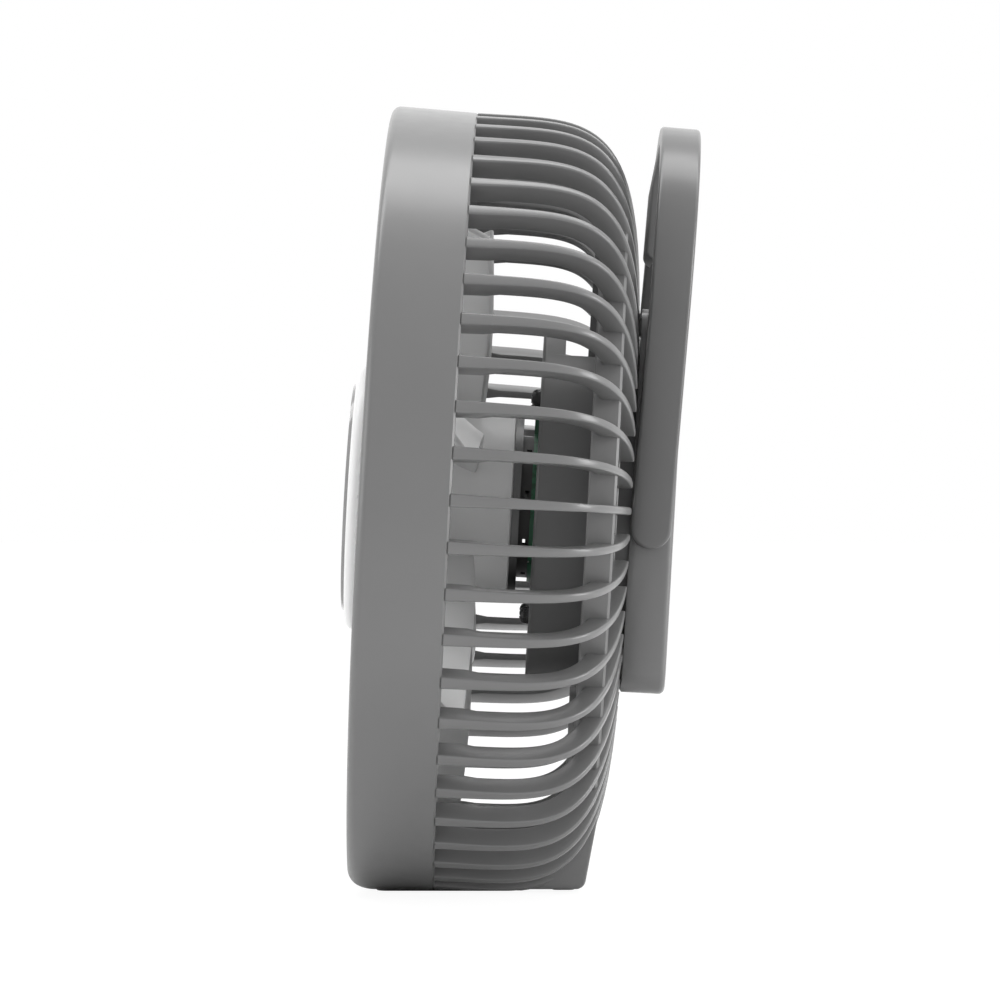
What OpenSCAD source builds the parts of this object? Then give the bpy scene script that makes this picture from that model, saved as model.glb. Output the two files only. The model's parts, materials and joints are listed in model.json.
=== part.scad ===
// Rechargeable clip fan: a ribbed round head on a flat foot, with a sprung arm behind it.
// Millimetres. The floor is z = 0, the air blows towards -Y, and X runs across the fan.
// Inside the head, Y is counted from the ring's front plane along the tilted axis.

/* [Stance] */
// How far the head looks up, in degrees
tilt = 3.2; // [0:0.1:6]
// How deep the flat foot cuts off the ring's lowest part
foot_cut = 1.35; // [1:0.05:1.5]
// Width of the foot
foot_w = 44; // [42:0.5:50]
// Thickness of the anti-slip pad
pad_t = 0.8; // [0.6:0.1:1]
// How much of the pad stands out of the foot
pad_proud = 0.5; // [0.3:0.1:0.5]
// Width of the pad
pad_w = 34; // [24:0.5:38]
// Length of the pad from front to back
pad_len = 35.4; // [30:0.1:36]
// Length of the second pad, under the wedge's heel
heel_len = 5.6; // [4:0.1:6]

/* [Ring] */
// Outer radius at the front
ring_r = 99.2; // [95:0.1:110]
// Length from front to back
ring_len = 21.5; // [20:0.1:26]
// Wall thickness
ring_wall = 2.4; // [1.8:0.1:3]
// How much narrower the radius is at the back
ring_draft = 0.6; // [0:0.1:1.2]
// Radius of the rounded front edge
ring_edge_r = 2.2; // [1:0.1:2.4]
// Width of the ring's front face, from its outer edge to the grille
ring_face = 11.8; // [9:0.1:14]

/* [Front grille] */
// Number of bars
grille_bars = 56; // [40:1:64]
// Width of a bar
grille_bar_w = 1.5; // [1.2:0.1:1.8]
// Depth of a bar from front to back
grille_bar_h = 3; // [2:0.1:3.6]
// How far the middle stands out in front of the rim
grille_dome = 4.8; // [2:0.1:5.4]
// Radius of the white cap
cap_r = 33.4; // [28:0.1:38]
// Thickness of the white cap
cap_t = 3.2; // [2.4:0.1:5]
// Radius of the glossy disc on the cap
disc_r = 28; // [20:0.1:30]
// Thickness of the glossy disc at its middle
disc_t = 1.1; // [0.8:0.1:1.6]

/* [Rear guard] */
// Number of ribs
rib_count = 56; // [44:4:60]
// Rib thickness behind the shoulder
rib_w = 1.9; // [1.4:0.1:2.4]
// Rib thickness at the ring
rib_root_w = 3.2; // [2.4:0.1:3.6]
// Rib depth from its outer edge inwards
rib_depth = 5.2; // [4.4:0.1:6]
// Length of the rib cage behind the ring
cage_len = 43.6; // [43:0.1:46]
// How square the cage's shoulder is, the power of its curve
cage_power = 4.7; // [3.5:0.1:6]
// Outer radius of the band that ties the ribs behind the shoulder
band_r = 81; // [76:0.1:82]
// Outer radius of the hoop that the ribs end on
hoop_r = 58.2; // [56:0.1:60]
// Thickness of the guard's plate and hoop
plate_t = 2.2; // [1.8:0.1:3]

/* [Fan wheel] */
// Number of blades
blade_count = 7; // [5:1:9]
// Radius of the blade tips
blade_r = 76; // [70:0.1:80]
// Blade thickness
blade_t = 1.8; // [1.4:0.1:2.4]
// Length of a blade along the axis
blade_deep = 19.5; // [16:0.1:20]
// Radius of the hub
hub_r = 24; // [23.6:0.1:26]

/* [Motor] */
// Radius of the shaft
shaft_r = 1.5; // [1.2:0.1:2]
// Outer radius of the two ball bearings
bearing_r = 4; // [3.8:0.1:4.4]
// Length of each bearing
bearing_len = 4; // [3:0.1:5]
// Outer radius of the stator
stator_r = 18.3; // [17:0.1:18.4]
// Number of stator teeth
stator_teeth = 9; // [9:3:12]
// Air gap between stator and magnets
air_gap = 0.5; // [0.4:0.1:0.8]
// Thickness of the magnet ring
magnet_t = 1.8; // [1.4:0.1:2]

/* [Motor pod] */
// Radius of the pod
pod_r = 44.8; // [44:0.1:46]
// Place of the pod's front face behind the ring's front plane
pod_face = 41.1; // [41:0.1:43]
// Length of the pod
pod_len = 15.3; // [15.2:0.1:17]
// Wall thickness of the pod
pod_wall = 2.2; // [1.6:0.1:2.4]

/* [Battery] */
// Radius of a cell
cell_r = 9.2; // [9:0.1:9.3]
// Length of a cell
cell_len = 65; // [60:0.5:66]

/* [Rear block] */
// Width of the block
block_w = 86; // [84:0.5:90]
// Height of the block
block_h = 94; // [92:0.5:100]
// Depth of the block
block_d = 10.7; // [10.6:0.1:13]
// Wall thickness of the block
block_wall = 1.8; // [1.4:0.1:1.9]
// Corner radius of the block seen from behind
block_corner = 6; // [4:0.5:9]

/* [Clip arm] */
// Thickness of the arm across the fan
arm_t = 5; // [4:0.1:6]
// Depth of the arm from front to back
arm_deep = 10; // [9:0.1:10.4]
// Length from the pivot to the top
arm_len = 101.8; // [98:0.1:110]
// How far the arm leans back at rest, in degrees
arm_lean = 1.75; // [1.5:0.05:4]
// Width of the tongue that hangs in the arch
tongue_w = 32; // [24:0.5:40]
// Length of the tongue below the arch's inner edge
tongue_len = 29; // [20:0.5:32]
// How far the grip pad stands out in front of the arm
grip_proud = 1.2; // [0.6:0.1:1.6]
// Radius of the stub that the arm turns on
stub_r = 2.5; // [2:0.1:2.6]

/* [Controls] */
// Radius of the power button
button_r = 6; // [5:0.1:8]
// Travel of the power button
button_travel = 0.5; // [0.3:0.05:0.5]
// Width of the charging socket
socket_w = 8.94; // [8:0.01:9.2]
// Height of the charging socket
socket_h = 3.26; // [3:0.01:3.6]

/* [Hidden] */
$fn = 72;
// Overrun of a cut past the face it opens
over = 0.5;
// Gap between seated pieces, between turning ones, and beside moving ones
fit = 0.05;
seat = 0.2;
free = 0.3;

// Heights and slopes of the floor seen from the tilted head
axis_h = ring_r * cos(tilt) + pad_proud - foot_cut;
pad_behind = 1.5;
foot_to_ring = pad_len / 2 + pad_behind;
function sole_at(y, lift) = (lift - axis_h + y * sin(tilt)) / cos(tilt);

// Stations along the axis, counted from the ring's front plane
plate_y = pod_face + pod_len;
plate_back = plate_y + plate_t;
neck_len = 6;
block_y = plate_back + neck_len;
block_back = block_y + block_d;
chassis_lift = 0.2;
chassis_t = 1.2;
control_gap = 0.9;
control_t = 1.6;
control_y = block_y + chassis_lift + chassis_t + control_gap;
cage_r = ring_r - ring_draft;
grille_r = ring_r - ring_face;
motor_gap = 3.7;
bell_lip_len = 1.9;
hub_len = 14.9;
blade_in_hub = 9.3;
bell_back = pod_face - motor_gap;
hub_back = bell_back - bell_lip_len;
bell_y = hub_back - hub_len;
blade_back = hub_back - blade_in_hub;

// The guard's outer curve: a superellipse from the ring to the middle of the back
rib_tip_in = 1.2;
tip_r = hoop_r - rib_tip_in;
tip_turn = acos(pow(tip_r / cage_r, cage_power / 2));
function cage(turn) = [
    ring_len + cage_len * pow(sin(turn), 2 / cage_power),
    cage_r * pow(cos(turn), 2 / cage_power)];
function cage_normal(turn) =
    let (p = cage(turn), k = cage_power,
         v = [pow((p.x - ring_len) / cage_len, k - 1) / cage_len,
              pow(p.y / cage_r, k - 1) / cage_r])
    v / norm(v);
cage_steps = 16;
turns = [for (i = [0 : cage_steps]) tip_turn * pow(i / cage_steps, 1.6)];
outer_curve = [for (t = turns) cage(t)];
inner_curve = [for (t = turns) cage(t) - rib_depth * cage_normal(t)];

module in_head() {
    translate([0, -foot_to_ring, axis_h])
        rotate([-tilt, 0, 0])
            children();
}

// A turned shape about the axis; its outline is [radius, y]
module turned(points) {
    rotate([-90, 0, 0])
        rotate_extrude()
            polygon(points);
}

// A rod or tube along the axis from y0 to y1
module rod(r, y0, y1) {
    translate([0, y0, 0])
        rotate([-90, 0, 0])
            cylinder(r = r, h = y1 - y0);
}

module tube(r, bore, y0, y1) {
    difference() {
        rod(r, y0, y1);
        rod(bore, y0 - over, y1 + over);
    }
}

// A flat outline in X and Z, given depth from y0 to y1
module slab(y0, y1) {
    translate([0, y1, 0])
        rotate([90, 0, 0])
            linear_extrude(y1 - y0)
                children();
}

// A side outline in Y and Z, given width from x0 to x1
module side(x0, x1) {
    translate([x0, 0, 0])
        rotate([90, 0, 90])
            linear_extrude(x1 - x0)
                children();
}

module rounded(w, h, r) {
    square([w - 2 * r, h], center = true);
    square([w, h - 2 * r], center = true);
    for (x = [-1, 1], z = [-1, 1])
        translate([x * (w / 2 - r), z * (h / 2 - r)])
            circle(r = r);
}

module at_corners(x, z) {
    for (i = [-1, 1], k = [-1, 1])
        translate([i * x, 0, k * z])
            children();
}

function arc(c, r, from, to, steps) =
    [for (i = [0 : steps]) let (t = from + (to - from) * i / steps) c + r * [cos(t), sin(t)]];

// Foot: a flat cut under the ring, a sole plate under the ribs and the wedge behind
foot_corner = 6.4;
foot_floor_t = 1;
sole_end_y = 43;
sole_plate_t = 1.6;
heel_lift = 0.3;
wedge_corner = 2.5;
wedge_foot_y = 59;
wedge_top = [61.6, -72.8];
wedge_wall = 2.2;
pad_side = 3;
heel_w = 28;
heel_side = 1.5;
heel_y = 26.2;

module pad_outline(grow) {
    rounded(pad_w + 2 * grow, pad_len + 2 * grow, pad_side);
}

module heel_outline(grow) {
    translate([0, heel_y + heel_len / 2])
        rounded(heel_w + 2 * grow, heel_len + 2 * grow, heel_side);
}

module pad_recess() {
    translate([0, 0, -over])
        linear_extrude(over + pad_t)
            pad_outline(seat / 2);
    translate([0, 0, -over])
        linear_extrude(over + pad_t + heel_lift)
            heel_outline(seat / 2);
}

// Everything below the flat sole
module under_foot() {
    translate([-ring_r, -ring_r, -ring_r])
        cube([2 * ring_r, 2 * ring_r, ring_r + pad_proud]);
}

module foot_pad() {
    color("dimgray")
        linear_extrude(pad_t)
            pad_outline(0);
}

module heel_pad() {
    color("dimgray")
        linear_extrude(pad_t + heel_lift)
            heel_outline(0);
}

// Front ring, with its collar for the grille and the front half of the foot
collar_len = 8;
ledge_w = 2;
ledge_y = 5.4;
rim_r = ring_r - ring_wall - seat;

module ring_section() {
    turned(concat(
        [[grille_r, 0], [ring_r - ring_edge_r, 0]],
        arc([ring_r - ring_edge_r, ring_edge_r], ring_edge_r, -90, 0, 8),
        [[cage_r, ring_len],
         [cage_r - ring_wall, ring_len],
         [ring_r - ring_wall, ring_edge_r + ring_wall],
         [ring_r - ring_wall - ring_edge_r, ring_wall],
         [grille_r + ring_wall, ring_wall],
         [grille_r + ring_wall, collar_len],
         [grille_r - ledge_w, collar_len],
         [grille_r - ledge_w, ledge_y],
         [grille_r, ledge_y]]));
}

// The ring's foot is flat inside too, so that it keeps a floor over the pad
module ring_foot() {
    intersection() {
        rod(cage_r, foot_corner / 2, ring_len);
        side(-foot_w / 2, foot_w / 2)
            polygon([
                [0, sole_at(0, 0)], [ring_len, sole_at(ring_len, 0)],
                [ring_len, sole_at(ring_len, pad_proud + foot_floor_t)],
                [0, sole_at(0, pad_proud + foot_floor_t)]]);
    }
}

module front_ring() {
    corner = [foot_corner, sole_at(foot_corner, pad_proud) + foot_corner];
    color("gray") difference() {
        in_head() difference() {
            union() {
                ring_section();
                ring_foot();
            }
            side(-ring_r, ring_r)
                polygon(concat(
                    [[-over, -ring_r - over], [-over, corner.y]],
                    arc(corner, foot_corner, 180, 270, 8),
                    [[foot_corner, -ring_r - over]]));
        }
        under_foot();
        pad_recess();
    }
}

// Front grille: a rim on the ring's ledge, a domed set of bars and a round middle
grille_rim_w = 3;
grille_mid_y = ledge_y - grille_bar_h - grille_dome;
cap_lip = 0.6;
bar_root = 2;
grille_mid_r = cap_r - cap_lip;
grille_steps = 8;
function grille_front(r) =
    let (s = (r - grille_mid_r) / (grille_r - grille_mid_r))
    grille_mid_y + grille_dome * pow(max(s, 0), 1.8);
grille_radii = [for (i = [0 : grille_steps])
    grille_mid_r - bar_root
    + (grille_r - grille_rim_w / 2 - grille_mid_r + bar_root) * i / grille_steps];
grille_hoop_shares = [0.36, 0.7];

module front_guard() {
    color("gray") in_head() {
        tube(grille_r - seat, grille_r - grille_rim_w, ledge_y - grille_bar_h, ledge_y);
        for (i = [0 : grille_bars - 1])
            rotate([0, i * 360 / grille_bars, 0])
                side(-grille_bar_w / 2, grille_bar_w / 2)
                    polygon(concat(
                        [for (r = grille_radii) [grille_front(r), r]],
                        [for (i = [grille_steps : -1 : 0])
                            [grille_front(grille_radii[i]) + grille_bar_h, grille_radii[i]]]));
        for (s = grille_hoop_shares) {
            r = grille_mid_r + s * (grille_r - grille_mid_r);
            tube(r + grille_bar_w / 2, r - grille_bar_w / 2,
                grille_front(r) + grille_bar_h / 4, grille_front(r) + grille_bar_h);
        }
        tube(grille_mid_r, cap_hook_r + seat, grille_mid_y, grille_mid_y + grille_bar_h);
    }
}

// White cap: a rounded disc that plugs into the grille's middle with a short spigot
cap_edge_r = 2.4;
cap_hook_in = 12;
cap_hook_r = cap_r - cap_hook_in;
cap_hook_wall = 2;
cap_front = grille_mid_y - cap_t;

module front_cap() {
    color("white") in_head()
        turned(concat(
            [[0, cap_front + disc_seat], [disc_r + seat, cap_front + disc_seat],
             [disc_r + seat, cap_front]],
            arc([cap_r - cap_edge_r, cap_front + cap_edge_r], cap_edge_r, -90, 0, 6),
            [[cap_r, grille_mid_y],
             [cap_hook_r, grille_mid_y],
             [cap_hook_r, grille_mid_y + grille_bar_h],
             [cap_hook_r - cap_hook_wall, grille_mid_y + grille_bar_h],
             [cap_hook_r - cap_hook_wall, grille_mid_y],
             [0, grille_mid_y]]));
}

// Glossy disc, slightly domed, let into the cap
disc_seat = 0.8;
disc_rim = 0.4;

module cap_disc() {
    color("dimgray") in_head()
        turned(concat(
            [[0, cap_front + disc_seat], [disc_r, cap_front + disc_seat],
             [disc_r, cap_front - disc_rim / 2]],
            [for (i = [1 : 6]) let (s = 1 - i / 6)
                [disc_r * s, cap_front - disc_rim - (disc_t - disc_rim) * (1 - s * s)]]));
}

// Rear guard: the ribs, the rim inside the ring, band, hoop, plate and wedge
rim_len = 9;
rim_lip = 0.4;
rim_t = 3;
rim_out_r = rim_r - ring_draft - seat;
rim_mid_r = rim_out_r - rim_t / 3;
band_y = 53.4;
band_len = 6.7;
hoop_y = plate_y - plate_t / 2;
hoop_len = 5.7;
window_gap = 0.4;
vent_w = 2.4;
vent_len = 7;
vent_r = 47.5;

module rib_outline() {
    hoop_mid_r = hoop_r - plate_t / 2;
    polygon(concat(
        [[ring_len - rim_t / 2, rim_mid_r], [ring_len, rim_mid_r]],
        outer_curve,
        [[hoop_y + hoop_len - plate_t / 4, hoop_mid_r]],
        [[hoop_y + plate_t / 4, hoop_mid_r]],
        [for (i = [cage_steps : -1 : 0])
            if (inner_curve[i].y > hoop_mid_r + plate_t) inner_curve[i]],
        [[ring_len - rim_t / 2, cage_r - rib_depth]]));
}

module rib() {
    shoulder = ring_len + 0.75 * cage_len;
    intersection() {
        side(-rib_root_w, rib_root_w)
            rib_outline();
        linear_extrude(ring_r)
            polygon([
                [-rib_root_w / 2, ring_len - rim_t - over], [rib_root_w / 2, ring_len - rim_t - over],
                [rib_root_w / 2, ring_len], [rib_w / 2, shoulder],
                [rib_w / 2, block_back], [-rib_w / 2, block_back],
                [-rib_w / 2, shoulder], [-rib_root_w / 2, ring_len]]);
    }
}

wedge_depth = 1.6;

module wedge_outline(wall) {
    floor_z = pad_proud + heel_lift + wall;
    corner = [wedge_foot_y - wedge_corner,
        sole_at(wedge_foot_y - wedge_corner, pad_proud + heel_lift) + wedge_corner];
    polygon(concat(
        [[ring_len, -cage_r + 3 * rib_depth],
         [ring_len - (wall > 0 ? over : 0), sole_at(ring_len, floor_z)]],
        arc(corner, wedge_corner - wall, 270, 352, 5),
        [[wedge_top.x - wall, wedge_top.y],
         [wedge_top.x - wall, wedge_top.y + 2 * rib_depth]]));
}

module wedge() {
    cavity = [for (t = turns) cage(t) - wedge_depth * cage_normal(t)];
    difference() {
        side(-foot_w / 2, foot_w / 2)
            wedge_outline(0);
        side(-foot_w / 2 + wedge_wall, foot_w / 2 - wedge_wall)
            wedge_outline(wedge_wall);
        turned(concat(
            [[0, ring_len - over], [cavity[0].y, ring_len - over]],
            [for (p = cavity) [p.y, p.x]],
            [[0, cavity[cage_steps].x]]));
    }
}

module sole_plate() {
    top = pad_proud + sole_plate_t;
    heel_end = wedge_foot_y - wedge_corner;
    side(-foot_w / 2, foot_w / 2)
        polygon([
            [ring_len, sole_at(ring_len, top)], [ring_len, sole_at(ring_len, 0)],
            [sole_end_y, sole_at(sole_end_y, 0)],
            [sole_end_y, sole_at(sole_end_y, pad_proud + heel_lift)],
            [heel_end, sole_at(heel_end, pad_proud + heel_lift)],
            [heel_end, sole_at(heel_end, top)]]);
}

module rear_guard() {
    color("gray") difference() {
        in_head() difference() {
            union() {
                tube(rim_out_r, rim_out_r - rim_t, ring_len - rim_len, ring_len + rim_lip);
                for (i = [0 : rib_count - 1])
                    rotate([0, i * 360 / rib_count, 0])
                        rib();
                tube(band_r, band_r - plate_t, band_y, band_y + band_len);
                tube(hoop_r, hoop_r - plate_t, hoop_y, hoop_y + hoop_len);
                rod(hoop_r - plate_t / 2, plate_y, plate_back);
                intersection() {
                    rod(cage_r, ring_len, block_back);
                    union() {
                        wedge();
                        sole_plate();
                    }
                }
            }
            side(-foot_w / 2 - free, foot_w / 2 + free)
                polygon([
                    [0, -ring_r], [ring_len + fit, -ring_r],
                    [ring_len + fit, sole_at(ring_len, pad_proud + foot_floor_t + seat)],
                    [0, sole_at(0, pad_proud + foot_floor_t + seat)]]);
            slab(plate_y - over, plate_back + over)
                rounded(tray_w + 2 * window_gap, tray_h + 2 * window_gap, tray_corner);
            at_corners(pod_screw_x, pod_screw_x)
                rod(pod_screw_r + free / 2, plate_y - over, plate_back + over);
            for (i = [0 : 2 : rib_count - 1])
                rotate([0, (i + 0.5) * 360 / rib_count, 0])
                    translate([-vent_w / 2, plate_y - over, vent_r])
                        cube([vent_w, plate_t + 2 * over, vent_len]);
            translate([0, 0, lead_z])
                rod(lead_hole_r, plate_y - over, plate_back + over);
        }
        under_foot();
        pad_recess();
    }
}

// Motor pod: a cup that carries the motor on its face, with four screw tubes
pod_screw_x = 26.9;
pod_screw_r = 1.45;
pod_head_r = 2.25;
pod_head_h = 2.4;
pod_tube_r = 3.3;
pod_rim = 5.6;
pod_flat = 38;
pod_flange = 1.2;
shaft_hole_r = 4.5;
lead_z = 24;
lead_hole_r = 2.6;

module pod_shape(r, flat, y0) {
    difference() {
        rod(r, y0, plate_y);
        translate([-r, pod_face + pod_rim, flat])
            cube([2 * r, pod_len, r]);
    }
}

module pod_cover() {
    color("dimgray") in_head() difference() {
        union() {
            difference() {
                union() {
                    pod_shape(pod_r, pod_flat, pod_face);
                    intersection() {
                        pod_shape(pod_r + pod_flange, pod_flat, pod_face);
                        rod(pod_r + pod_flange, plate_y - pod_flange, plate_y);
                    }
                }
                intersection() {
                    rod(pod_r - pod_wall, pod_face + pod_wall, plate_y + over);
                    translate([-pod_r, pod_face, -pod_r])
                        cube([2 * pod_r, pod_len + 2 * over, pod_r + pod_flat - pod_wall]);
                }
            }
            at_corners(pod_screw_x, pod_screw_x)
                rod(pod_tube_r, pod_face, plate_y);
        }
        at_corners(pod_screw_x, pod_screw_x)
            rod(pod_screw_r + free / 2, pod_face - over, plate_y + over);
        rod(shaft_hole_r, pod_face - over, pod_face + pod_wall + over);
        translate([0, 0, lead_z])
            rod(lead_hole_r, pod_face - over, pod_face + pod_wall + over);
        for (i = [0 : 2])
            rotate([0, i * 120, 0])
                translate([0, 0, motor_screw_at])
                    rod(motor_screw_r + fit, pod_face - over, pod_face + pod_wall + over);
    }
}

module pan_screw(r, head_r, head_h, y0, y1) {
    turned(concat(
        [[0, y0 - head_h]],
        [for (i = [0 : 5]) let (t = 90 * i / 5)
            [head_r * sin(t), y0 - head_h * (0.3 + 0.7 * cos(t))]],
        [[head_r, y0], [r, y0], [r, y1], [0, y1]]));
}

module pod_screws() {
    color("dimgray") in_head()
        at_corners(pod_screw_x, pod_screw_x)
            pan_screw(pod_screw_r, pod_head_r, pod_head_h, pod_face, block_y + chassis_t - fit);
}

// Motor: a bearing tube on the pod's face carries stator and bearings
tube_wall = 1.6;
tube_flange_r = 11.6;
tube_flange_t = 1.4;
tube_ahead = 3.6;
tube_front = bell_y + tube_ahead;
motor_screw_at = 9;
motor_screw_r = 0.9;
bearing_in = 1.4;
bearing_front = tube_front + bearing_in;
bearing_back = pod_face - bearing_in - bearing_len;
core_ahead = 4.2;
core_behind = 1.6;
core_y = bell_y + core_ahead;
core_len = bell_back - core_behind - core_y;
yoke_w = 2.6;
yoke_r = bearing_r + tube_wall + fit + yoke_w;
shoe_t = 1.2;
slot_w = 2.6;
coil_over = 1.4;

module bearing_tube() {
    color("silver") in_head() difference() {
        union() {
            rod(bearing_r + tube_wall, tube_front, pod_face);
            rod(tube_flange_r, pod_face - tube_flange_t, pod_face);
        }
        rod(bearing_r + fit, tube_front - over, pod_face + over);
        for (i = [0 : 2])
            rotate([0, i * 120, 0])
                translate([0, 0, motor_screw_at])
                    rod(motor_screw_r + fit, pod_face - tube_flange_t - over, pod_face + over);
    }
}

module motor_screws() {
    color("silver") in_head()
        for (i = [0 : 2])
            rotate([0, i * 120, 0])
                translate([0, 0, motor_screw_at])
                    pan_screw(motor_screw_r, 2 * motor_screw_r, motor_screw_r,
                        pod_face - tube_flange_t, pod_face + pod_wall);
}

module bearings() {
    color("silver") in_head()
        for (y = [bearing_front, bearing_back])
            tube(bearing_r, shaft_r + fit, y, y + bearing_len);
}

module stator_core() {
    shoe = 150 / stator_teeth;
    color("gray") in_head()
        slab(core_y, core_y + core_len)
            difference() {
                union() {
                    circle(r = yoke_r);
                    for (i = [0 : stator_teeth - 1])
                        rotate(i * 360 / stator_teeth) {
                            translate([-slot_w / 2, yoke_r - shoe_t / 2])
                                square([slot_w, stator_r - yoke_r]);
                            intersection() {
                                difference() {
                                    circle(r = stator_r);
                                    circle(r = stator_r - shoe_t);
                                }
                                polygon([[0, 0],
                                    2 * stator_r * [-sin(shoe), cos(shoe)],
                                    2 * stator_r * [sin(shoe), cos(shoe)]]);
                            }
                        }
                }
                circle(r = bearing_r + tube_wall + fit);
            }
}

module stator_coils() {
    in_r = yoke_r + seat;
    out_r = stator_r - shoe_t - seat;
    coil_w = 2 * in_r * tan(180 / stator_teeth) - 2 * fit;
    color("peru") in_head()
        for (i = [0 : stator_teeth - 1])
            rotate([0, i * 360 / stator_teeth, 0])
                difference() {
                    translate([-coil_w / 2, core_y - coil_over, in_r])
                        cube([coil_w, core_len + 2 * coil_over, out_r - in_r]);
                    translate([-slot_w / 2 - fit, core_y - fit, in_r - over])
                        cube([slot_w + 2 * fit, core_len + 2 * fit, out_r - in_r + 2 * over]);
                }
}

// Motor board: a ring-shaped board on the pod's face with a tab for its three leads
board_t = 1;
board_r = 19;
board_tab_w = 9;
lead_r = 0.6;
lead_gap = 1.5;
lead_margin = 2;

module motor_board() {
    color("darkgreen") in_head()
        slab(pod_face - board_t, pod_face)
            difference() {
                union() {
                    circle(r = board_r);
                    translate([-board_tab_w / 2, 0])
                        square([board_tab_w, lead_z + lead_r + lead_margin]);
                }
                circle(r = tube_flange_r + seat);
            }
}

module motor_leads() {
    color("black") in_head()
        for (x = [-lead_gap, 0, lead_gap])
            translate([x, 0, lead_z])
                rod(lead_r, pod_face, control_y);
}

// Rotor: a steel bell with its magnets inside the white hub, on the shaft
bell_t = 1.2;
bell_in_r = stator_r + air_gap + magnet_t + fit;
bell_lip_r = hub_r - seat;
bell_boss_r = 4;
bell_boss_len = 3;
hub_front = 3.6;
hub_wall = hub_r - bell_in_r - bell_t - fit;
hub_edge_r = 3;
shaft_over = 1.2;
shaft_end = pod_face + shaft_over;
clip_back = 0.7;
clip_y = pod_face - clip_back;
clip_t = 0.6;
clip_groove = 0.3;
clip_bore = shaft_r - clip_groove;
magnet_over = 1;

module rotor_bell() {
    color("dimgray") in_head()
        turned([
            [shaft_r + fit / 2, bell_y - bell_boss_len], [bell_boss_r, bell_y - bell_boss_len],
            [bell_boss_r, bell_y], [bell_in_r + bell_t, bell_y],
            [bell_in_r + bell_t, hub_back], [bell_lip_r, hub_back],
            [bell_lip_r, bell_back], [bell_in_r, bell_back],
            [bell_in_r, bell_y + bell_t], [shaft_r + fit / 2, bell_y + bell_t]]);
}

module magnet_ring() {
    color("black") in_head()
        tube(bell_in_r - fit / 2, bell_in_r - magnet_t, core_y - magnet_over,
            core_y + core_len + magnet_over);
}

module rotor_shaft() {
    color("silver") in_head() difference() {
        rod(shaft_r, bell_y - bell_boss_len, shaft_end);
        tube(2 * shaft_r, clip_bore, clip_y - fit, clip_y + clip_t + fit);
    }
}

module shaft_clip() {
    color("black") in_head()
        slab(clip_y, clip_y + clip_t)
            difference() {
                circle(r = 2 * shaft_r);
                circle(r = clip_bore + fit / 2);
                translate([-clip_bore * 0.8, 0])
                    square([1.6 * clip_bore, 3 * shaft_r]);
            }
}

// A blade is swept from the hub to the tip. Across it runs from -1 at the front
// edge to 1 at the back edge, and out runs from 0 at the hub to 1 at the tip.
blade_root_r = hub_r - hub_wall / 2;
blade_mid_y = blade_back - blade_deep / 2;
blade_out_steps = 8;
blade_across_steps = 8;
blade_root_half_share = 0.32;
blade_tip_half_share = 0.27;
blade_sweep = 16;
blade_camber_share = 0.09;

function blade_half(out) = // half of the blade's width round the axis
    blade_root_half_share * blade_root_r
    + out * (blade_tip_half_share * blade_r - blade_root_half_share * blade_root_r);
function blade_deep_half(out) = blade_deep / 2 * (1 + 0.14 * sin(180 * out));
function blade_point(out, across, face) =
    let (r = blade_root_r + out * (blade_r - blade_root_r),
         half = blade_half(out), deep = blade_deep_half(out), l = norm([half, deep]),
         camber = blade_camber_share * 2 * l * (1 - across * across),
         push = camber + face * blade_t / 2 * (1 - 0.5 * pow(abs(across), 3)),
         round_way = across * half + push * deep / l,
         y = blade_mid_y + across * deep - push * half / l,
         turn = blade_sweep * out * out + round_way / r * 180 / PI)
    [r * sin(turn), y, r * cos(turn)];

module blade() {
    n = blade_across_steps + 1;
    side_points = n * (blade_out_steps + 1);
    points = [for (face = [-1, 1], i = [0 : blade_out_steps], j = [0 : blade_across_steps])
        blade_point(i / blade_out_steps, 2 * j / blade_across_steps - 1, face)];
    function quad(a, b, c, d) = [[a, b, c], [a, c, d]];
    faces = concat(
        [for (i = [0 : blade_out_steps - 1], j = [0 : blade_across_steps - 1])
            let (k = i * n + j) each quad(k, k + 1, k + n + 1, k + n)],
        [for (i = [0 : blade_out_steps - 1], j = [0 : blade_across_steps - 1])
            let (k = side_points + i * n + j) each quad(k, k + n, k + n + 1, k + 1)],
        [for (j = [0 : blade_across_steps - 1], e = [0, 1])
            let (k = e * blade_out_steps * n + j, m = k + side_points)
            each (e == 0 ? quad(k, m, m + 1, k + 1) : quad(k, k + 1, m + 1, m))],
        [for (i = [0 : blade_out_steps - 1], e = [0, 1])
            let (k = i * n + e * blade_across_steps, m = k + side_points)
            each (e == 0 ? quad(k, k + n, m + n, m) : quad(k, m, m + n, k + n))]);
    polyhedron(points, faces, convexity = 4);
}

module fan_wheel() {
    color("whitesmoke") in_head() {
        turned(concat(
            [[0, hub_front]],
            arc([hub_r - hub_edge_r, hub_front + hub_edge_r], hub_edge_r, -90, 0, 6),
            [[hub_r, hub_back - fit],
             [hub_r - hub_wall, hub_back - fit],
             [hub_r - hub_wall, bell_y - fit],
             [bell_boss_r + fit, bell_y - fit],
             [bell_boss_r + fit, bell_y - bell_boss_len - fit],
             [0, bell_y - bell_boss_len - fit]]));
        for (i = [0 : blade_count - 1])
            rotate([0, i * 360 / blade_count, 0])
                blade();
    }
}

// Battery: two cells in a tray that stands in the pod
tray_wall = 1.2;
tray_gap = 0.8;
cell_gap = 0.4;
tray_w = cell_len + 2 * tray_gap + 2 * tray_wall;
tray_h = 4 * cell_r + cell_gap + 2 * seat + 2 * tray_wall;
tray_corner = 1.5;
tray_y = pod_face + pod_wall;
cell_y = tray_y + tray_wall + fit + cell_r;
tab_t = 0.3;

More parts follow.
